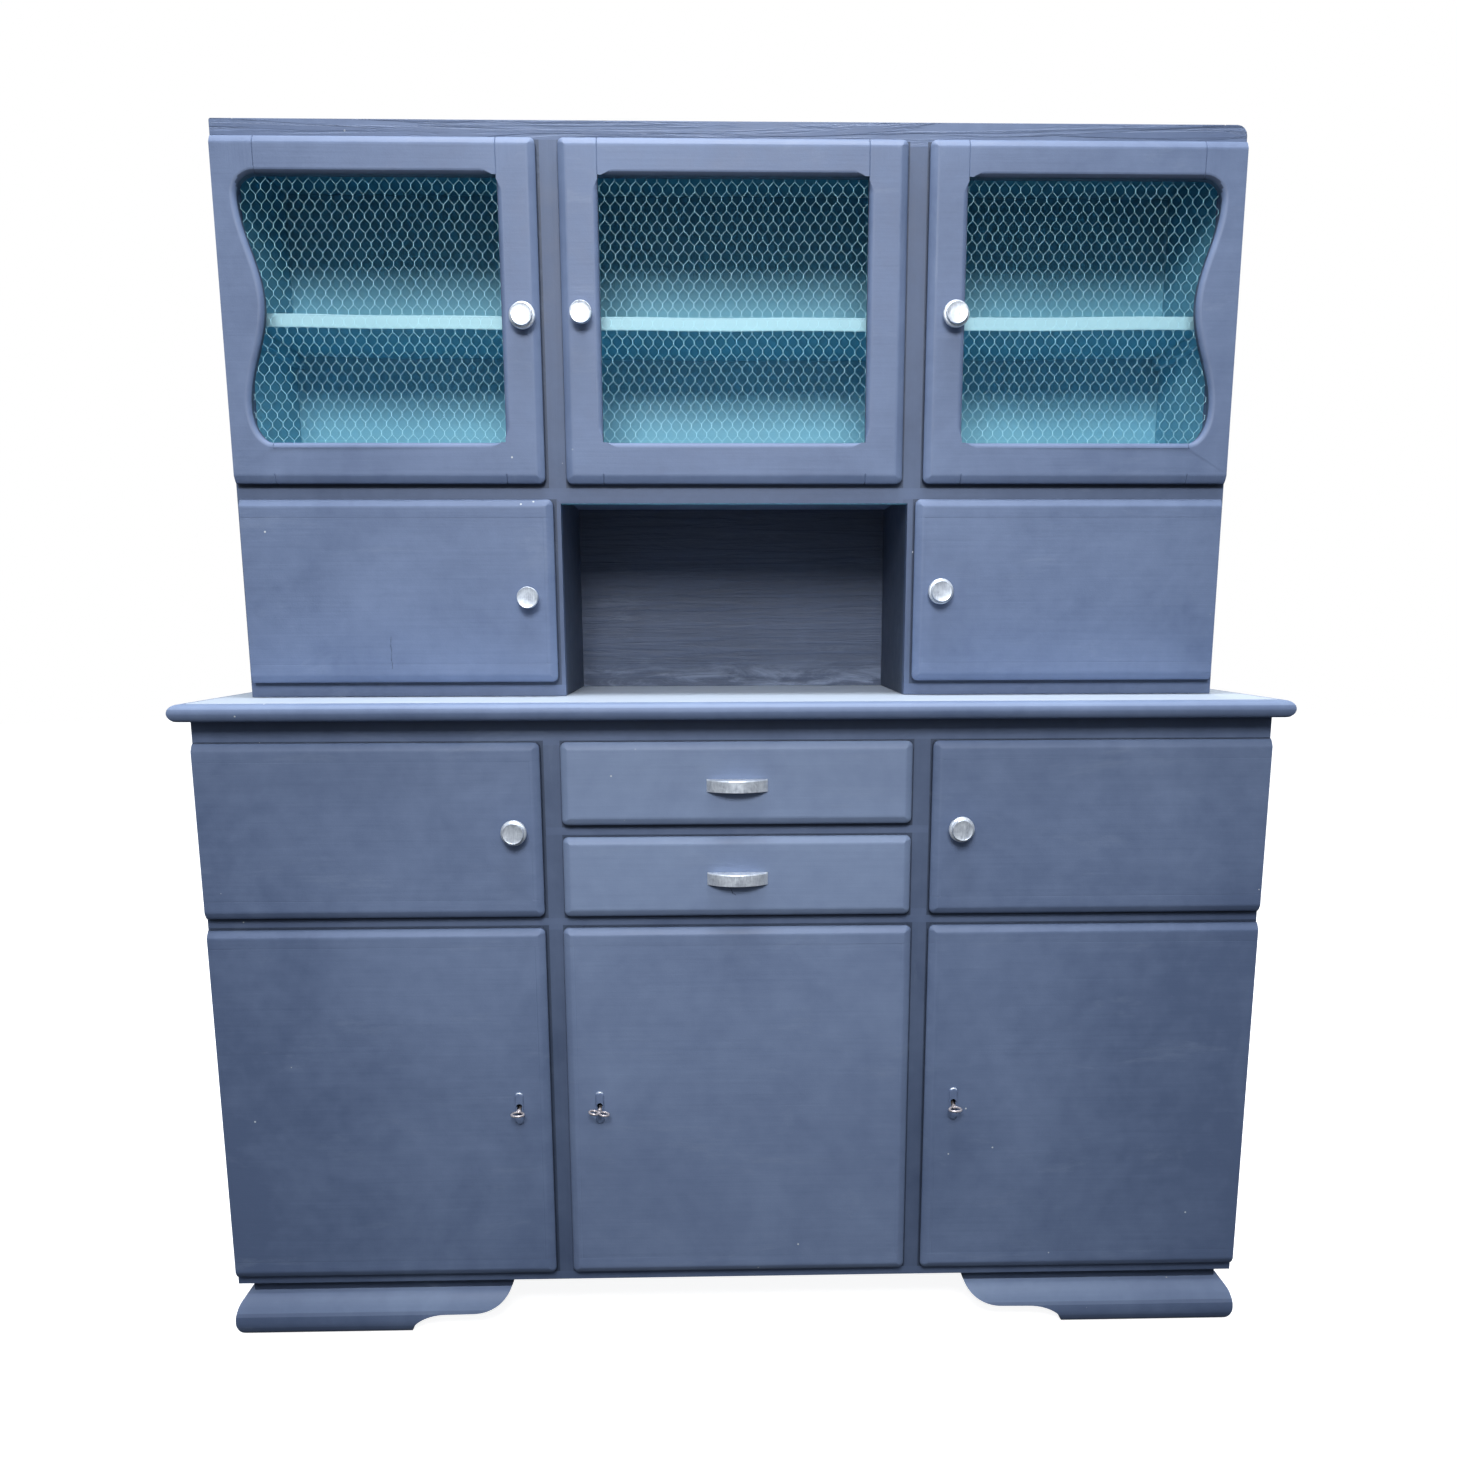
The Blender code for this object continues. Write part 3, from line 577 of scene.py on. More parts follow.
def opening_outline(side, xs, zs):
    """The outline of a netting door's opening, and how fully each point is rounded over."""
    (x0, x1), (z0, z1) = xs, zs
    points = [(x0, z0, 0), *faded(x0, z0, 1, 0)]
    if side:
        points += opening_scroll(xs, zs)
    else:
        points += [*faded(x1, z0, -1, 0)[::-1], (x1, z0, 0), *faded(x1, z0, 0, 1)]
        points += [*faded(x1, z1, 0, -1)[::-1], (x1, z1, 0), *faded(x1, z1, -1, 0)]
    points += [*faded(x0, z1, 1, 0)[::-1], (x0, z1, 0), *faded(x0, z1, 0, -1)]
    points += faded(x0, z0, 0, 1)[::-1]
    return [(x if side >= 0 else -x, z, full) for x, z, full in points]


def opening_cutter(side, xs, zs, ys):
    """A solid the shape of the opening, flared at the front by a cove."""
    outline = opening_outline(side, xs, zs)
    turn = -1 if side < 0 else 1
    outward = []
    for i, (x, z, full) in enumerate(outline):
        ax, az, _ = outline[i - 1]
        bx, bz, _ = outline[(i + 1) % len(outline)]
        length = math.hypot(bx - ax, bz - az)
        outward.append((turn * (bz - az) / length * full, -turn * (bx - ax) / length * full))
    levels = [(ys[1] + 0.002, 0.0)]
    for i in range(9):
        a = math.radians(90 * i / 8)
        levels.append((ys[0] + COVE_R * (1 - math.sin(a)), COVE_R * (1 - math.cos(a))))
    levels.append((ys[0] - 0.002, COVE_R))
    return loft([[(x + out[0] * grow, y, z + out[1] * grow) for (x, z, _), out in zip(outline, outward)]
                 for y, grow in levels])


def make_mesh_door(word, side):
    """A netting door: two rails between two stiles, with a coved opening and a rebate behind."""
    node = f"mesh_door_{word}"
    bm, lo, hi = node_panel(node, side)
    net_lo, net_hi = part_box(f"netting_{word}")
    zs = (net_lo.z + OPEN_IN, net_hi.z - OPEN_IN)
    xs = JOINT_X if side else (net_lo.x + OPEN_IN, net_hi.x - OPEN_IN)
    bm = boolean(bm, opening_cutter(side, xs, zs, (lo.y, hi.y)))
    bm = boolean(bm, block((net_lo.x - GAP, net_lo.y - GAP, net_lo.z - GAP),
                           (net_hi.x + GAP, hi.y + 0.002, net_hi.z + GAP)))
    left, right = sorted(x if side >= 0 else -x for x in xs)
    for at in (left, right):
        score(bm, 0, at, lambda p: p.z > zs[1] + 0.0004 or p.z < zs[0] - 0.0004)

    def finish(normal, centre):
        # Painted shade: the opening's downward-facing top cove and the door's narrow sides get the
        # near-black slate.
        top_cove = (normal.z < -0.35 and zs[0] + 0.1 < centre.z < zs[1] + COVE_R + 0.001
                    and centre.y < lo.y + COVE_R + 0.001)
        if top_cove or is_rim(normal, centre, lo.y):
            return 2
        return not left < centre.x < right
    paint_faces(bm, finish)
    piece(f"netting_door_{word}", bm, body_of(node), [SLATE_X, SLATE_Z, SLATE_SHADE_AND_CRACKS],
          [node])


def lipping(bm, lo, hi, free):
    """Fine lines where the door's solid edging meets its panel."""
    low, high = lo.z + 0.028, hi.z - 0.028
    for z in (low, high):
        score(bm, 2, z, lambda p: True, 0.0020, 0.00034)
    for x in free:
        inner = x + math.copysign(0.0165, (lo.x + hi.x) / 2 - x)
        score(bm, 0, inner, lambda p: low < p.z < high, 0.0020, 0.00034)


def make_plain_front(name, node, side=0, edging=True, key=None, paint=SLATE_X):
    """A plain door or drawer front, with a keyhole at the key's (x, z) if there is one."""
    bm, lo, hi = node_panel(node, side)
    if key:
        for up in (0.0, KEYHOLE_UP):
            hole = ((KEYHOLE_R, -0.05), (KEYHOLE_R, 0.02))
            bm = boolean(bm, lathe(hole, (key[0], hi.y, key[1] + up), 24))
    if edging:
        lipping(bm, lo, hi, [x for x, end in ((lo.x, -1), (hi.x, 1)) if end != side])
    # Painted shade: the front's narrow sides get the near-black slate.
    paint_faces(bm, lambda normal, centre: is_rim(normal, centre, lo.y))
    piece(name, bm, body_of(node), [paint, SLATE_SHADE_AND_CRACKS], [node])


NET_PITCH, NET_RISE = 0.0154, 0.0131  # width of a cell, and height of a row of cells
NET_TWIST, NET_SPREAD = 0.0058, 0.00026  # length of a twist, and how far its wires lie apart
NET_WIRE_R, NET_SIDES = 0.00022, 5
NET_MARGIN = 0.001  # the wires end this far inside the sheet


def netting_wire(wire, rows, start_x, top, y):
    """The line of one wire: twists down one side of a cell, then across to the next one."""
    half, path = NET_PITCH / 2, []
    for row in range(rows):
        right = (wire + row) % 2 == 1
        x, z = start_x + (wire + right) * half, top - row * NET_RISE
        away = -1 if right else 1
        for t in (k / 7 for k in range(8)):
            phase = 2 * math.pi * t
            path.append((x + away * NET_SPREAD * math.cos(phase),
                         y + away * NET_SPREAD * math.sin(phase), z - NET_TWIST * t))
        if row < rows - 1:
            for t in (0.30, 0.70):
                path.append((x + away * (NET_SPREAD + (half - 2 * NET_SPREAD) * t), y,
                             z - NET_TWIST - (NET_RISE - NET_TWIST) * t))
    return np.array(path)


def make_netting(word, side):
    """Hexagonal netting of thin wires, twisted in pairs along the upright sides of each cell."""
    lo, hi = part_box(f"netting_{word}")
    shake = random.Random(40 + side)
    phases = [shake.uniform(0, 2 * math.pi) for _ in range(4)]
    half = NET_PITCH / 2
    columns = int((hi.x - lo.x - 2 * NET_MARGIN) / half)
    start_x = (lo.x + hi.x - columns * half) / 2
    rows = int((hi.z - lo.z - 2 * NET_MARGIN) / NET_RISE)
    top = hi.z - 0.004 - shake.uniform(0, 0.003)
    verts, faces, first = [], [], 0
    turn = np.arange(NET_SIDES) * 2 * math.pi / NET_SIDES
    for wire in range(columns):
        p = netting_wire(wire, rows, start_x, top, (lo.y + hi.y) / 2)
        px, pz = p[:, 0].copy(), p[:, 2].copy()
        p[:, 0] += 0.0011 * np.sin(pz * 17 + phases[0]) + 0.0007 * np.sin(px * 31 + pz * 9 + phases[1])
        p[:, 2] += 0.0012 * np.sin(px * 13 + phases[2]) + 0.0006 * np.sin(px * 41 + phases[3])
        p[:, 2] -= 0.006 * (px - lo.x)
        p[:, 0] = np.clip(p[:, 0], lo.x + NET_MARGIN, hi.x - NET_MARGIN)
        p[:, 2] = np.clip(p[:, 2], lo.z + NET_MARGIN, hi.z - NET_MARGIN)
        along = np.gradient(p, axis=0)
        along /= np.linalg.norm(along, axis=1)[:, None]
        across = np.cross(along, (0.0, 1.0, 0.0))
        across /= np.linalg.norm(across, axis=1)[:, None]
        out = np.cross(across, along)
        ring = p[:, None, :] + NET_WIRE_R * (np.cos(turn)[None, :, None] * across[:, None, :]
                                             + np.sin(turn)[None, :, None] * out[:, None, :])
        verts.append(ring.reshape(-1, 3))
        for start in range(first, first + (len(p) - 1) * NET_SIDES, NET_SIDES):
            for j in range(NET_SIDES):
                k = (j + 1) % NET_SIDES
                faces.append((start + j, start + k, start + NET_SIDES + k, start + NET_SIDES + j))
        last = first + (len(p) - 1) * NET_SIDES
        faces.append(tuple(range(first, first + NET_SIDES))[::-1])
        faces.append(tuple(range(last, last + NET_SIDES)))
        first = last + NET_SIDES
    mesh = bpy.data.meshes.new(f"netting_wires_{word}")
    mesh.from_pydata(np.concatenate(verts).tolist(), [], faces)
    mesh.polygons.foreach_set("use_smooth", [True] * len(mesh.polygons))
    mesh.materials.append(WIRE)
    made = bpy.data.objects.new(f"netting_wires_{word}", mesh)
    COLLECTION.objects.link(made)
    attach(made, body_of(f"netting_{word}"))
    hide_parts(f"netting_{word}")


# ---- hardware

KNOB_STEPPED = (
    (0.0095, 0.0), (0.0092, -0.002), (0.0086, -0.006), (0.0088, -0.0085), (0.0105, -0.0105),
    (0.0150, -0.0118), (0.0180, -0.0124), (0.0190, -0.0134), (0.0192, -0.0150), (0.0189, -0.0166),
    (0.0180, -0.0176), (0.0165, -0.0181), (0.0157, -0.0184), (0.0157, -0.0192), (0.0157, -0.0236),
    (0.0155, -0.0247), (0.0151, -0.0253), (0.0147, -0.0254), (0.0142, -0.0252), (0.0120, -0.0248),
    (0.0085, -0.0245), (0.0045, -0.0244), (0.0008, -0.0244))
KNOB_PLAIN = (
    (0.0085, 0.0), (0.0078, -0.003), (0.0072, -0.007), (0.0078, -0.0095), (0.0105, -0.0118),
    (0.0142, -0.0132), (0.0156, -0.0142), (0.0160, -0.0156), (0.0160, -0.0208), (0.0158, -0.0219),
    (0.0155, -0.0226), (0.0151, -0.0228), (0.0146, -0.0226), (0.0122, -0.0221), (0.0085, -0.0218),
    (0.0045, -0.0216), (0.0008, -0.0216))


def make_knobs():
    """Turned knobs: the wider CAD nodes get the one with a flange and a step."""
    for node in sorted(n for n in NODES if n.startswith("knob_")):
        lo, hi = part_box(node)
        profile = curved(KNOB_STEPPED if hi.x - lo.x > 0.035 else KNOB_PLAIN, 2)
        bm = lathe([(max(p[0], 0.0004), p[1]) for p in profile],
                   ((lo.x + hi.x) / 2, hi.y, (lo.z + hi.z) / 2), 64)
        piece(node.replace("knob_", "turned_knob_"), bm, body_of(node), [ALUMINIUM],
              [node], 48)


def make_pull(word):
    """A bow-shaped strip with a plate that slopes up from its top edge to the drawer."""
    node = f"pull_{word}"
    lo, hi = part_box(node)
    face, z, half = hi.y, (lo.z + hi.z) / 2, (hi.x - lo.x) / 2
    deep = hi.y - lo.y
    radius = (half ** 2 + deep ** 2) / (2 * deep)
    steps, rings = 48, []
    for i in range(steps + 1):
        x = (half - 0.0006) * math.sin((2 * i / steps - 1) * math.pi / 2)
        y = lo.y + radius - math.sqrt(radius ** 2 - x ** 2)
        inner = y + min(0.0017, face - 0.0004 - y)
        section = ((y, -0.0090), (y, 0.0066), (y + 0.0003, 0.0076), (y + 0.0010, 0.0084),
                   (face - 0.0003, 0.0096), (face - 0.0003, 0.0080), (inner + 0.0002, 0.0068),
                   (inner, 0.0058), (inner, -0.0090), ((y + inner) / 2, -0.0094))
        rings.append([(x, py, z + up) for py, up in section])
    piece(f"bow_pull_{word}", loft(rings), body_of(node), [ALUMINIUM], [node], 40)


def make_cracks():
    """Hairline cracks in the paint: under the lower pull, and low on the left niche door."""
    lo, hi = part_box("pull_lower")
    x, z, y = (lo.x + hi.x) / 2, (lo.z + hi.z) / 2, hi.y
    lines = [tube([(x + dx, y, z + dz) for dx, dz in path], 0.00045, 6) for path in (
        ((-0.0105, -0.0135), (-0.0098, -0.0170), (-0.0082, -0.0205), (-0.0070, -0.0240)),
        ((-0.0082, -0.0205), (-0.0050, -0.0238), (-0.0022, -0.0262)))]
    piece("paint_crack_drawer", join(lines), body_of("pull_lower"), [SLATE_SHADE_AND_CRACKS])
    lo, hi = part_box("niche_door_left")
    x = lo.x + 0.46 * (hi.x - lo.x)
    split = [(x + 0.0006 * math.sin(2.1 * i), lo.y, lo.z + 0.021 + 0.007 * i) for i in range(8)]
    piece("paint_crack_door", tube(split, 0.00035, 6), body_of("niche_door_left"),
          [SLATE_SHADE_AND_CRACKS])


def key_place(word):
    """The (x, z) of a key's axis: over the middle of its own width, up from its lock's foot."""
    lo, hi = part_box(f"key_{word}")
    return (lo.x + hi.x) / 2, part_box(f"lock_case_{word}")[0].z + LOCK_UP


def make_key(word):
    """A key with its bow level. The centre one is longer, and its bow is a tilted pair of loops."""
    x, z = key_place(word)
    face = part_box(f"big_door_{word}")[0].y
    two = word == "centre"
    reach = 0.0180 if two else 0.0120
    stem = ((0.0006, -reach - 0.0006), (0.0019, -reach), (0.0025, 0.0012 - reach), (0.0026, -0.0085),
            (0.0034, -0.0080), (0.0036, -0.0070), (0.0034, -0.0060), (0.0026, -0.0055),
            (0.0026, 0.0315), (0.0006, 0.0318))
    shapes = [lathe(stem, (x, face, z), 28)]
    tilt = math.radians(9) if two else 0.0
    rx, ry, pinch = (0.0070, 0.0072, 0.0) if two else (0.0090, 0.0090, 0.26)
    for shift in ((-0.0080, 0.0080) if two else (0.0,)):
        loop = []
        for a in around(40):
            across = shift + rx * math.cos(a) * (1 - pinch * math.sin(a))
            loop.append((x + across * math.cos(tilt), face - 0.0182 + ry * math.sin(a),
                         z - across * math.sin(tilt)))
        shapes.append(tube(loop, 0.0017, 10, closed=True))
    bit = block((x - 0.0009, face + 0.0255, z - 0.0055), (x + 0.0009, face + 0.0305, z))
    shapes.append(soften(bit, 0.0003))
    node = f"key_{word}"
    piece(f"turned_key_{word}", join(shapes), body_of(node), [STEEL], [node], 48)


def make_escutcheon(word):
    """A long oval plate with a keyhole through it, painted over with the door, with bare metal on its
    top as a painted highlight.
    """
    x, z = key_place(word)
    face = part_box(f"big_door_{word}")[0].y
    middle, half_w, half_h = z + 0.0022, 0.0066, 0.0262
    straight = half_h - half_w
    rings = []
    for inset, out in ((0, -0.0004), (0, 0.0008), (0.0003, 0.0017), (0.0010, 0.0024),
                       (0.0022, 0.0029), (0.0034, 0.0030)):
        radii = (half_w - inset, half_w - inset)
        oval = (arc((x, middle + straight), radii, 0, 180, 16)
                + arc((x, middle - straight), radii, 180, 360, 16))
        rings.append([(px, face - out, pz) for px, pz in oval])
    hole = lathe(((0.0046, -0.01), (0.0046, 0.01)), (x, face, z + KEYHOLE_UP), 28)
    slot = block((x - 0.0036, face - 0.01, z - 0.0075), (x + 0.0036, face + 0.01, z + 0.005))
    plate = boolean(boolean(loft(rings), hole), slot)
    # Painted highlight: the faces on the plate's rounded top are given bare metal.
    paint_faces(plate, lambda normal, centre: normal.z > 0.50 and centre.z > middle + straight)
    piece(f"keyhole_plate_{word}", plate, body_of(f"big_door_{word}"),
          [SLATE_Z, ALUMINIUM])


HINGE_R, HINGE_IN = 0.0026, 0.055  # barrel radius, and distance from the door's ends
HINGE_LEAF = (0.014, 0.0009)  # depth and thickness of a leaf
HINGE_FROM_X = 0.5  # nearer the middle than this a barrel would stand in the frame


def barrel(x, y, low, high):
    """One half of a hinge's upright barrel, its ends eased."""
    ends = ((0.35, low), (0.8, low + 0.0006), (1.0, low + 0.0016),
            (1.0, high - 0.0016), (0.8, high - 0.0006), (0.35, high))
    return loft([[(x + HINGE_R * part * math.cos(a), y + HINGE_R * part * math.sin(a), z)
                  for a in around(20)] for part, z in ends])


def make_hinges():
    """Small barrel hinges on the outer doors, painted over: the door's half and the case's half."""
    deep, thick = HINGE_LEAF
    for joint in (j for j in frame["joints"] if j["name"].endswith("_hinge")):
        body = joint["child"]
        lo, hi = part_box(next(n for n in NODES if body_of(n) == body and "door" in n))
        x, y, _ = joint["pos_m"]
        if abs(x) < HINGE_FROM_X:
            continue
        tall = min(0.030, (hi.z - lo.z) * 0.09)
        xs = sorted((math.copysign(abs(x) - 0.003, x), math.copysign(abs(x) - 0.003 + thick, x)))
        halves = {"case": [], body: []}
        for z in (lo.z + HINGE_IN + tall / 2, hi.z - HINGE_IN - tall / 2):
            for owner, low, high, ys in (("case", z - tall, z - 0.0003, (y, y + deep)),
                                         (body, z + 0.0003, z + tall, (y - deep, y))):
                leaf = block((xs[0], ys[0], low), (xs[1], ys[1], high))
                halves[owner] += [barrel(x, y, low, high), soften(leaf, 0.0003)]
        label = body.replace("_leaf", "")
        for owner, shapes in halves.items():
            part = "case_half" if owner == "case" else "door_half"
            piece(f"hinge_{label}_{part}", join(shapes), owner, [SLATE_Z], (), 40)


# ---- case

FOOT_STEP, FOOT_FULL_X, FOOT_END_X = 0.0355, 0.532, 0.364
FOOT_WALL = 0.055  # how far a foot's wood reaches in from the case's faces
FOOT_NECK = 0.012  # above this far under its top, a foot's paint is in shade
# Painted light and shade by slope: past each of these upward slopes a foot's paint is a step paler.
FOOT_TONES = (-0.25, 0.15, 0.25)  # upward slopes past which the paint gets a step paler
FOOT_PROFILE = (  # (outward from the case face, height), floor to top
    (-0.014, 0.0), (-0.008, 0.0008), (-0.003, 0.0035), (0.0015, 0.0075), (0.0045, 0.0130),
    (0.0066, 0.0200), (0.0072, 0.0270), (0.0066, 0.0360), (0.0045, 0.0450), (0.0010, 0.0545),
    (-0.0040, 0.0625), (-0.0095, 0.0680), (-0.0150, 0.0705), (-0.0180, 0.0712))
NOSE_PROFILE = (  # (outward from the worktop edge, height over its underside)
    (-0.018, 0.0), (-0.0085, 0.0010), (-0.0045, 0.0032), (-0.0016, 0.0070), (-0.0002, 0.0110),
    (0.0, 0.0140), (-0.0008, 0.0180), (-0.0030, 0.0216), (-0.0068, 0.0246), (-0.0115, 0.0260),
    (-0.0170, 0.0267))
NOSE_BACK = 0.006  # how far the nose is set back from the CAD's front edge


def make_feet():
    """Moulded feet in an L, each with an ogee relief under its inner end."""
    frame_lo, frame_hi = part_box("lower_face_frame")
    case_x, case_y = frame_hi.x, frame_lo.y
    _, (_, back, top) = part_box("foot_left")
    for name, side in (("foot_left", -1), ("foot_right", 1)):
        rings = []
        for out, z in [*curved(FOOT_PROFILE, 3), (-0.018, top)]:
            edge, front = case_x + out, case_y - out
            inner_x, inner_y = case_x - FOOT_WALL, case_y + FOOT_WALL
            plan = ((edge, front), (FOOT_END_X - 0.002, front), (FOOT_END_X - 0.002, inner_y),
                    (inner_x, inner_y), (inner_x, back), (edge, back))
            rings.append([(side * x, y, z) for x, y in plan])
        relief = [(FOOT_FULL_X, -0.01)]
        relief += arc((FOOT_FULL_X - 0.058, 0), (0.058, FOOT_STEP), 0, 90, 14)
        relief += arc((0.430, 0.095), (0.066, 0.059), 270, 180, 16)
        relief += [(FOOT_END_X, 0.100), (FOOT_END_X - 0.02, 0.100), (FOOT_END_X - 0.02, -0.01)]
        cutter = loft([[(side * x, y, z) for x, z in relief] for y in (case_y - 0.03, case_y + 0.08)])
        bm = boolean(loft(rings), cutter)
        # Painted light and shade: the neck gets near-black slate, faces that look down the darker frame
        # slate, faces that look up paler slate up to a painted highlight.
        paint_faces(bm, lambda normal, centre: 4 if centre.z > top - FOOT_NECK
                    else sum(normal.z > slope for slope in FOOT_TONES))
        piece(f"moulded_{name}", bm, "case",
              [SLATE_FRAME_X, SLATE_X, SLATE_PALER_AND_HIGHLIGHT, SLATE_FOOT_HIGHLIGHT, SLATE_SHADE_AND_CRACKS], [name], 40)


def make_worktop():
    """A top with a rounded nose on three sides, and a laminate sheet let into it."""
    lo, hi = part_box("worktop")
    rings = []
    for out, up in curved(NOSE_PROFILE, 3):
        x, front, z = hi.x + out, lo.y + NOSE_BACK - out, lo.z + up
        rings.append([(-x, front, z), (x, front, z), (x, hi.y, z), (-x, hi.y, z)])
    sheet_lo, sheet_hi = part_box("worktop_sheet")
    room = 0.0007
    recess = block((sheet_lo.x - room, sheet_lo.y - room, sheet_lo.z - GAP),
                   (sheet_hi.x + room, hi.y + 0.01, hi.z + 0.01))
    bm = boolean(loft(rings), recess)
    # Painted highlight: the nose's faces that look up get the paler slate.
    paint_faces(bm, lambda normal, centre: normal.z > 0.45)
    piece("moulded_worktop", bm, "case", [SLATE_X, SLATE_PALER_AND_HIGHLIGHT], ["worktop"], 40)
    sheet = soften(block(sheet_lo, sheet_hi), 0.0004)
    piece("laminate_top", sheet, "case", [LAMINATE], ["worktop_sheet"])


RAIL_LAP = 0.007  # how far a front laps over the rails beside it
LOWER_STILES_X, UPPER_STILES_X = (-0.765, 0.765), (-0.717, 0.717)
MIDDLE_JOINTS_X = (-0.2877, -0.2619, 0.2529, 0.2784)
# Widths of the strip of painted shadow round each front on a face frame: left, right, under and over.
SHADOW_LEFT, SHADOW_RIGHT, SHADOW_UNDER, SHADOW_OVER = 0.0015, 0.0036, 0.0050, 0.0008


def shaded_gaps(lo, hi):
    """The (x0, x1, z0, z1) of each front on a face frame, widened by the strip of painted shadow round
    it.
    """
    shadow_zones = []
    for front in (n for n in NODES if "door" in n or n.startswith("drawer_front")):
        a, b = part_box(front)
        if a.z > lo.z - 0.01 and b.z < hi.z + 0.01:
            shadow_zones.append((a.x - SHADOW_LEFT, b.x + SHADOW_RIGHT, a.z - SHADOW_UNDER, b.z + SHADOW_OVER))
    return shadow_zones


def frame_from_cad(node, name, joints, rails, grain_above):
    """A face frame with fine lines where its rails meet its stiles."""
    bm = soften(from_cad(node), 0.0008)
    lo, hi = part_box(node)
    for at, (z0, z1) in joints:
        score(bm, 0, at, lambda p: z0 < p.z < z1 and p.y < lo.y + 0.002)
    shadow_zones = shaded_gaps(lo, hi)
    for x0, x1, z0, z1 in shadow_zones:
        for axis, at in ((0, x0), (0, x1), (2, z0), (2, z1)):
            split_on(bm, axis, at)
    niche_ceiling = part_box("niche_ceiling")[0].z

    def finish(normal, p):
        if normal.z < -0.7 and abs(p.x) < 0.3 and abs(p.z - niche_ceiling) < 0.04:
            return 3
        # Painted shadow: front-facing frame faces round each front get the near-black slate.
        if normal.y < -0.9 and any(x0 < p.x < x1 and z0 < p.z < z1 for x0, x1, z0, z1 in shadow_zones):
            return 4
        if p.z > grain_above:
            return 2
        return not any(z0 < p.z < z1 for z0, z1 in rails)
    paint_faces(bm, finish)
    piece(name, bm, "case",
          [SLATE_FRAME_X, SLATE_FRAME_Z, SLATE_GRAIN, TEAL_IN, SLATE_SHADE_AND_CRACKS], [node])


def rail_joints(xs, rails):
    """Where rails meet stiles: an x, and the span of heights of the line there."""
    return [(x, (z0 - 0.001, z1 + 0.001)) for x in xs for z0, z1 in rails]


def make_frames():
    """Both face frames, their rails found from the fronts above and below them."""
    lo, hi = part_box("lower_face_frame")
    big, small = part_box("big_door_left"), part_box("small_door_left")
    top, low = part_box("drawer_front_upper"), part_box("drawer_front_lower")
    middle = (big[1].z - RAIL_LAP, small[0].z + RAIL_LAP)
    rails = [(lo.z, big[0].z + RAIL_LAP), middle, (small[1].z - RAIL_LAP, hi.z)]
    joints = rail_joints(LOWER_STILES_X, rails) + rail_joints(MIDDLE_JOINTS_X, [middle])
    rails.append((low[1].z - RAIL_LAP, top[0].z + RAIL_LAP))
    frame_from_cad("lower_face_frame", "case_front_lower", joints, rails, math.inf)
    lo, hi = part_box("upper_face_frame")
    mesh_door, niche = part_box("mesh_door_left"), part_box("niche_door_left")
    top_rail = mesh_door[1].z - RAIL_LAP
    rails = ((lo.z, niche[0].z + RAIL_LAP), (niche[1].z - RAIL_LAP, mesh_door[0].z + RAIL_LAP),
             (top_rail, hi.z))
    joints = rail_joints(UPPER_STILES_X, rails)
    frame_from_cad("upper_face_frame", "case_front_upper", joints, rails, top_rail)


def board(node, name, chooser, materials):
    """A case board whose faces may carry different finishes."""
    bm = soften(from_cad(node), 0.0008)
    paint_faces(bm, chooser)
    piece(name, bm, "case", materials, [node])


def make_upper_case():
    """The upper case's ends, top and niche ceiling: teal above the niche, bare wood beside it."""
    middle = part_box("niche_ceiling")[1].z - 0.009
    for word, side in (("left", -1), ("right", 1)):
        node = f"upper_side_{word}"
        bm = from_cad(node)
        split_on(bm, 2, middle)
        soften(bm, 0.0008)

        def finish(normal, centre):
            if normal.x * side >= -0.7:
                return 0
            return 1 if centre.z > middle else 2
        paint_faces(bm, finish)
        piece(f"upper_end_{word}", bm, "case", [SLATE_Z, TEAL_IN, WOOD_Z], [node])
    board("upper_top", "upper_lid", lambda n, p: n.z < -0.7, [SLATE_X, TEAL_IN])
    board("niche_ceiling", "niche_roof", lambda n, p: n.z < -0.7, [TEAL_IN, SLATE_X])


def make_upper_back():
    """The back board: teal behind the netting doors, slate in the niche, bare elsewhere."""
    bm = from_cad("upper_back")
    niche_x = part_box("niche_side_right")[0].x + 0.008
    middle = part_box("niche_ceiling")[0].z + 0.009
    for axis, at in ((2, middle), (0, niche_x), (0, -niche_x)):
        split_on(bm, axis, at)

    def finish(normal, centre):
        if normal.y > -0.5:
            return 3
        if centre.z > middle:
            return 0
        # the niche's part takes the slate darkened as painted shade
        return 1 if abs(centre.x) < niche_x else 2
    paint_faces(bm, finish)
    piece("upper_back_board", bm, "case", [TEAL_IN, SLATE_NICHE_SHADED, WOOD_X, BACKING],
          ["upper_back"])


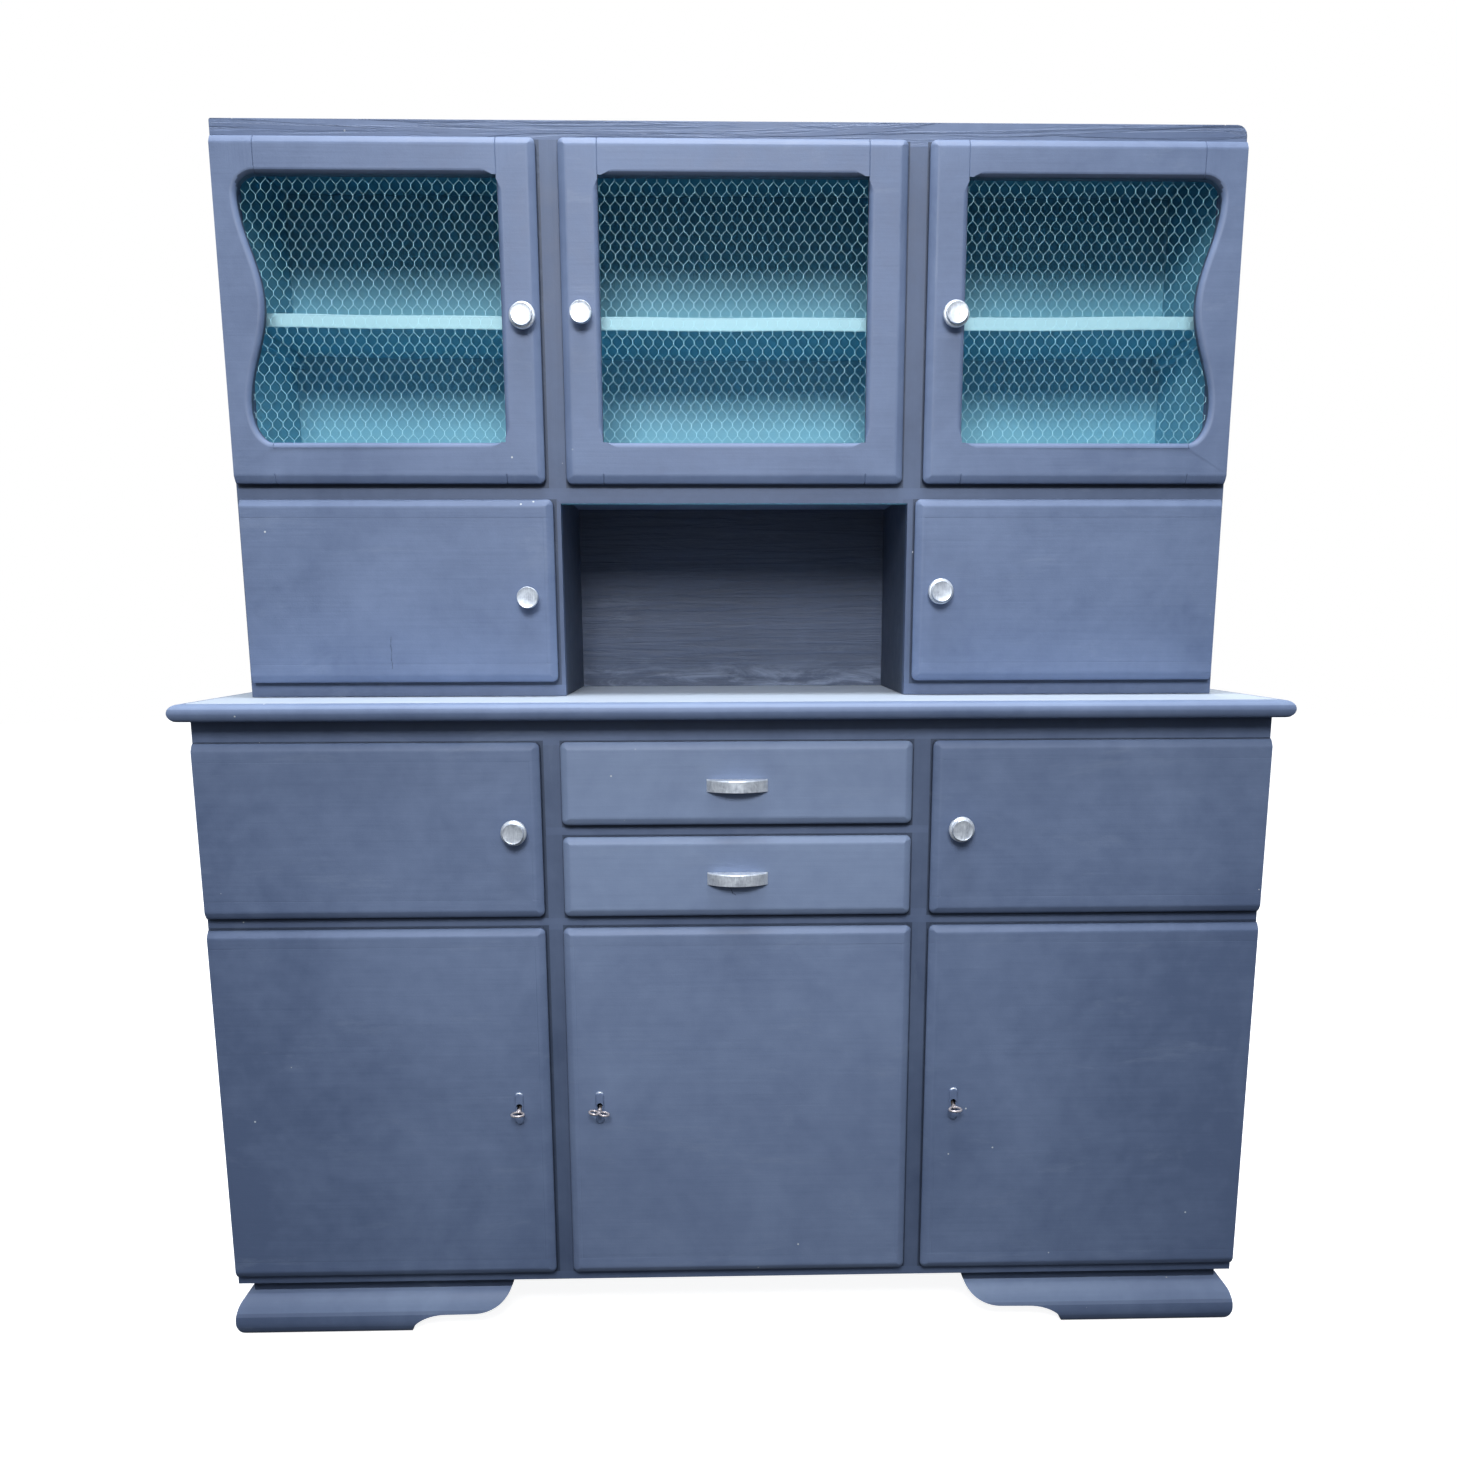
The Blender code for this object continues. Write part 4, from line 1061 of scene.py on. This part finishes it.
def make_shelf():
    """The long shelf, a little sagged in the middle, its front edge painted paler as painted light, on
    cleats.
    """
    lo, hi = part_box("upper_shelf")
    sag, steps, r, rings = 0.0042, 40, 0.0022, []
    for i in range(steps + 1):
        x = lo.x + (hi.x - lo.x) * i / steps
        low = sag * (1 - (2 * i / steps - 1) ** 2) ** 1.2 - 0.0005 * math.sin(i * 0.9)
        z0, z1 = lo.z - low, hi.z - low
        turns = [(r - r * math.cos(a), r - r * math.sin(a)) for a in (0, 0.52, 1.05, 1.57)]
        section = [(hi.y, z0), (hi.y, z1)]
        section += [(lo.y + down, z1 - back) for back, down in turns]
        section += [(lo.y + back, z0 + down) for back, down in turns]
        rings.append([(x, y, z) for y, z in section])
    bm = loft(rings)
    # Painted light: the shelf's front face gets the lit teal.
    paint_faces(bm, lambda normal, centre: abs(normal.y) > 0.6 and centre.y < 0)
    piece("sagging_shelf", bm, "case", [TEAL_IN, TEAL_EDGE_LIT], ["upper_shelf"])
    cleats = []
    for end in (-hi.x - GAP, hi.x + GAP):
        x0, x1 = sorted((end, end - math.copysign(0.014, end)))
        cleat = block((x0, lo.y + 0.012, lo.z - 0.020), (x1, hi.y - 0.004, lo.z - 0.001))
        cleats.append(soften(cleat, 0.0015))
    piece("shelf_cleats", join(cleats), "case", [TEAL_IN])


def dress_cad(names, material):
    """Gives CAD nodes that keep their own shape soft arrises and a finish."""
    for node in (NODES[name] for name in names):
        drop_custom_normals(node.data)
        node.data.materials.clear()
        node.data.materials.append(material)
        node.data.polygons.foreach_set("use_smooth", [False] * len(node.data.polygons))
        node.modifiers.new("weld", "WELD").merge_threshold = 2e-5
        soft = node.modifiers.new("arris", "BEVEL")
        soft.width, soft.segments, soft.limit_method = 0.0007, 2, "ANGLE"
        soft.angle_limit = math.radians(30)


def make_case_boards():
    dress_cad(("lower_side_left", "lower_side_right"), SLATE_Z)
    dress_cad(("niche_side_left", "niche_side_right"), SLATE_NICHE_SIDES_SHADED)
    dress_cad(("lower_bottom",), SLATE_X)
    dress_cad(("lower_partition_left", "lower_partition_right"), WOOD_Z)
    dress_cad(("lower_middle_left", "lower_middle_centre", "lower_middle_right"), WOOD_X)
    dress_cad(("drawer_runner_left", "drawer_runner_right"), WOOD_Y)
    dress_cad(("drawer_box_upper", "drawer_box_lower"), WOOD_Y)
    dress_cad(("lower_back",), BACKING)
    for part in ("lock_case", "bolt"):
        dress_cad((f"{part}_left", f"{part}_centre", f"{part}_right"), LOCK_STEEL)


def make_nails():
    """Round nail heads round the edge of both back boards."""
    head = ((0.0040, -0.0005), (0.0040, 0.0003), (0.0030, 0.0008), (0.0004, 0.0010))
    inset, across, up, shapes = 0.009, 11, 6, []
    for lo, hi in (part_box("lower_back"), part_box("upper_back")):
        x0, x1, z0, z1 = lo.x + inset, hi.x - inset, lo.z + inset, hi.z - inset
        spots = [(x0 + (x1 - x0) * i / across, z) for i in range(across + 1) for z in (z0, z1)]
        spots += [(x, z0 + (z1 - z0) * i / up) for i in range(1, up) for x in (x0, x1)]
        shapes += [lathe(head, (x, hi.y, z), 10) for x, z in spots]
    piece("back_nails", join(shapes), "case", [LOCK_STEEL], (), 40)


# ---- stage, light and camera

def glowing(name, colour, roughness, specular):
    """A finish that gives off white light."""
    shader = Shader(name, roughness=roughness, specular=specular)
    shader.colour((*colour, 1))
    shader.surface.inputs["Emission Color"].default_value = (1, 1, 1, 1)
    return shader


def make_stage():
    """A white floor and backdrop that only the camera sees."""
    floor_shader = glowing("studio_floor", (0.55, 0.55, 0.56), 0.9, 0.1)
    far = floor_shader.node("ShaderNodeVectorMath", {0: floor_shader.place}, operation="LENGTH")
    floor_shader.feed(floor_shader.surface.inputs["Emission Strength"],
                      floor_shader.span(far.outputs["Value"], 1.0, 3.5, 0.90, 1.0))
    bm = bmesh.new()
    bmesh.ops.create_circle(bm, cap_ends=True, segments=96, radius=14)
    floor = linked("studio_floor", bm, floor_shader.material)
    wall_shader = glowing("studio_backdrop", (0, 0, 0), 1.0, 0.0)
    wall_shader.surface.inputs["Emission Strength"].default_value = 1.0
    bm = bmesh.new()
    bmesh.ops.create_icosphere(bm, subdivisions=4, radius=15)
    wall = linked("studio_backdrop", bm, wall_shader.material)
    wall.visible_shadow = False
    for made in (floor, wall):
        made.visible_diffuse = made.visible_glossy = made.visible_transmission = False


def area_light(name, place, target, size, power, colour, spread=180):
    data = bpy.data.lights.new(name, "AREA")
    data.shape, data.size, data.size_y = "RECTANGLE", size[0], size[1]
    data.energy, data.color, data.spread = power, colour, math.radians(spread)
    lamp = bpy.data.objects.new(name, data)
    COLLECTION.objects.link(lamp)
    lamp.location = place
    lamp.rotation_mode = "QUATERNION"
    lamp.rotation_quaternion = (Vector(target) - Vector(place)).to_track_quat("-Z", "Y")


def make_light():
    world = bpy.data.worlds.new("studio_air")
    world.use_nodes = True
    nodes, links = world.node_tree.nodes, world.node_tree.links
    background = nodes["Background"]
    background.inputs["Color"].default_value = (0.86, 0.93, 1.0, 1)
    split, rise = nodes.new("ShaderNodeSeparateXYZ"), nodes.new("ShaderNodeMapRange")
    links.new(nodes.new("ShaderNodeTexCoord").outputs["Generated"], split.inputs[0])
    links.new(split.outputs["Z"], rise.inputs["Value"])
    for key, value in {"From Min": 0.0, "From Max": 0.62, "To Min": 0.09, "To Max": 0.64}.items():
        rise.inputs[key].default_value = value
    links.new(rise.outputs[0], background.inputs["Strength"])
    bpy.context.scene.world = world
    area_light("key", (-0.15, -2.80, 2.62), (0.05, 0.0, 1.05), (1.1, 0.8), 43, (1.0, 0.99, 0.98), 130)
    area_light("overhead", (-0.10, -0.55, 4.50), (-0.05, -0.25, 1.0), (2.2, 0.9), 165, (0.96, 0.98, 1.0))
    area_light("front_fill", (-0.10, -2.05, 1.25), (0.0, 0.0, 1.0), (1.0, 0.8), 2.0, (0.94, 0.97, 1.0))
    area_light("back", (0.70, 2.90, 2.30), (0.0, 0.2, 0.95), (1.6, 1.2), 60, (1.0, 0.99, 0.97))
    bpy.context.scene.view_settings.view_transform = "Standard"


def make_camera():
    data = bpy.data.cameras.new("camera")
    data.sensor_width, data.lens = 36.0, 30.663
    data.shift_x, data.shift_y = -0.01073, 0.0861
    data.clip_start, data.clip_end = 0.05, 60
    camera = bpy.data.objects.new("camera", data)
    COLLECTION.objects.link(camera)
    yaw, pitch, roll = 0.0240, -0.1895, -0.0025
    ahead = Vector((math.sin(yaw) * math.cos(pitch), math.cos(yaw) * math.cos(pitch), math.sin(pitch)))
    level = Vector((math.cos(yaw), -math.sin(yaw), 0))
    over = level.cross(ahead)
    right = level * math.cos(roll) + over * math.sin(roll)
    up = over * math.cos(roll) - level * math.sin(roll)
    facing = Matrix((right, up, -ahead)).transposed()
    camera.matrix_world = Matrix.Translation((-0.0339, -2.0174, 1.1439)) @ facing.to_4x4()
    bpy.context.scene.camera = camera


for WORD, SIDE in (("left", -1), ("centre", 0), ("right", 1)):
    make_mesh_door(WORD, SIDE)
    make_netting(WORD, SIDE)
    make_plain_front(f"cupboard_door_{WORD}", f"big_door_{WORD}", SIDE, key=key_place(WORD),
                     paint=SLATE_X if SIDE else SLATE_MID)
    make_key(WORD)
    make_escutcheon(WORD)
    if SIDE:
        make_plain_front(f"flap_door_{WORD}", f"small_door_{WORD}", SIDE)
        make_plain_front(f"niche_cupboard_door_{WORD}", f"niche_door_{WORD}", SIDE)
for WORD in ("upper", "lower"):
    make_plain_front(f"moulded_drawer_{WORD}", f"drawer_front_{WORD}", edging=False, paint=SLATE_PALER_AND_HIGHLIGHT)
    make_pull(WORD)
make_cracks()
make_knobs()
make_hinges()
make_feet()
make_worktop()
make_frames()
make_upper_case()
make_upper_back()
make_shelf()
make_case_boards()
make_nails()
make_stage()
make_light()
make_camera()
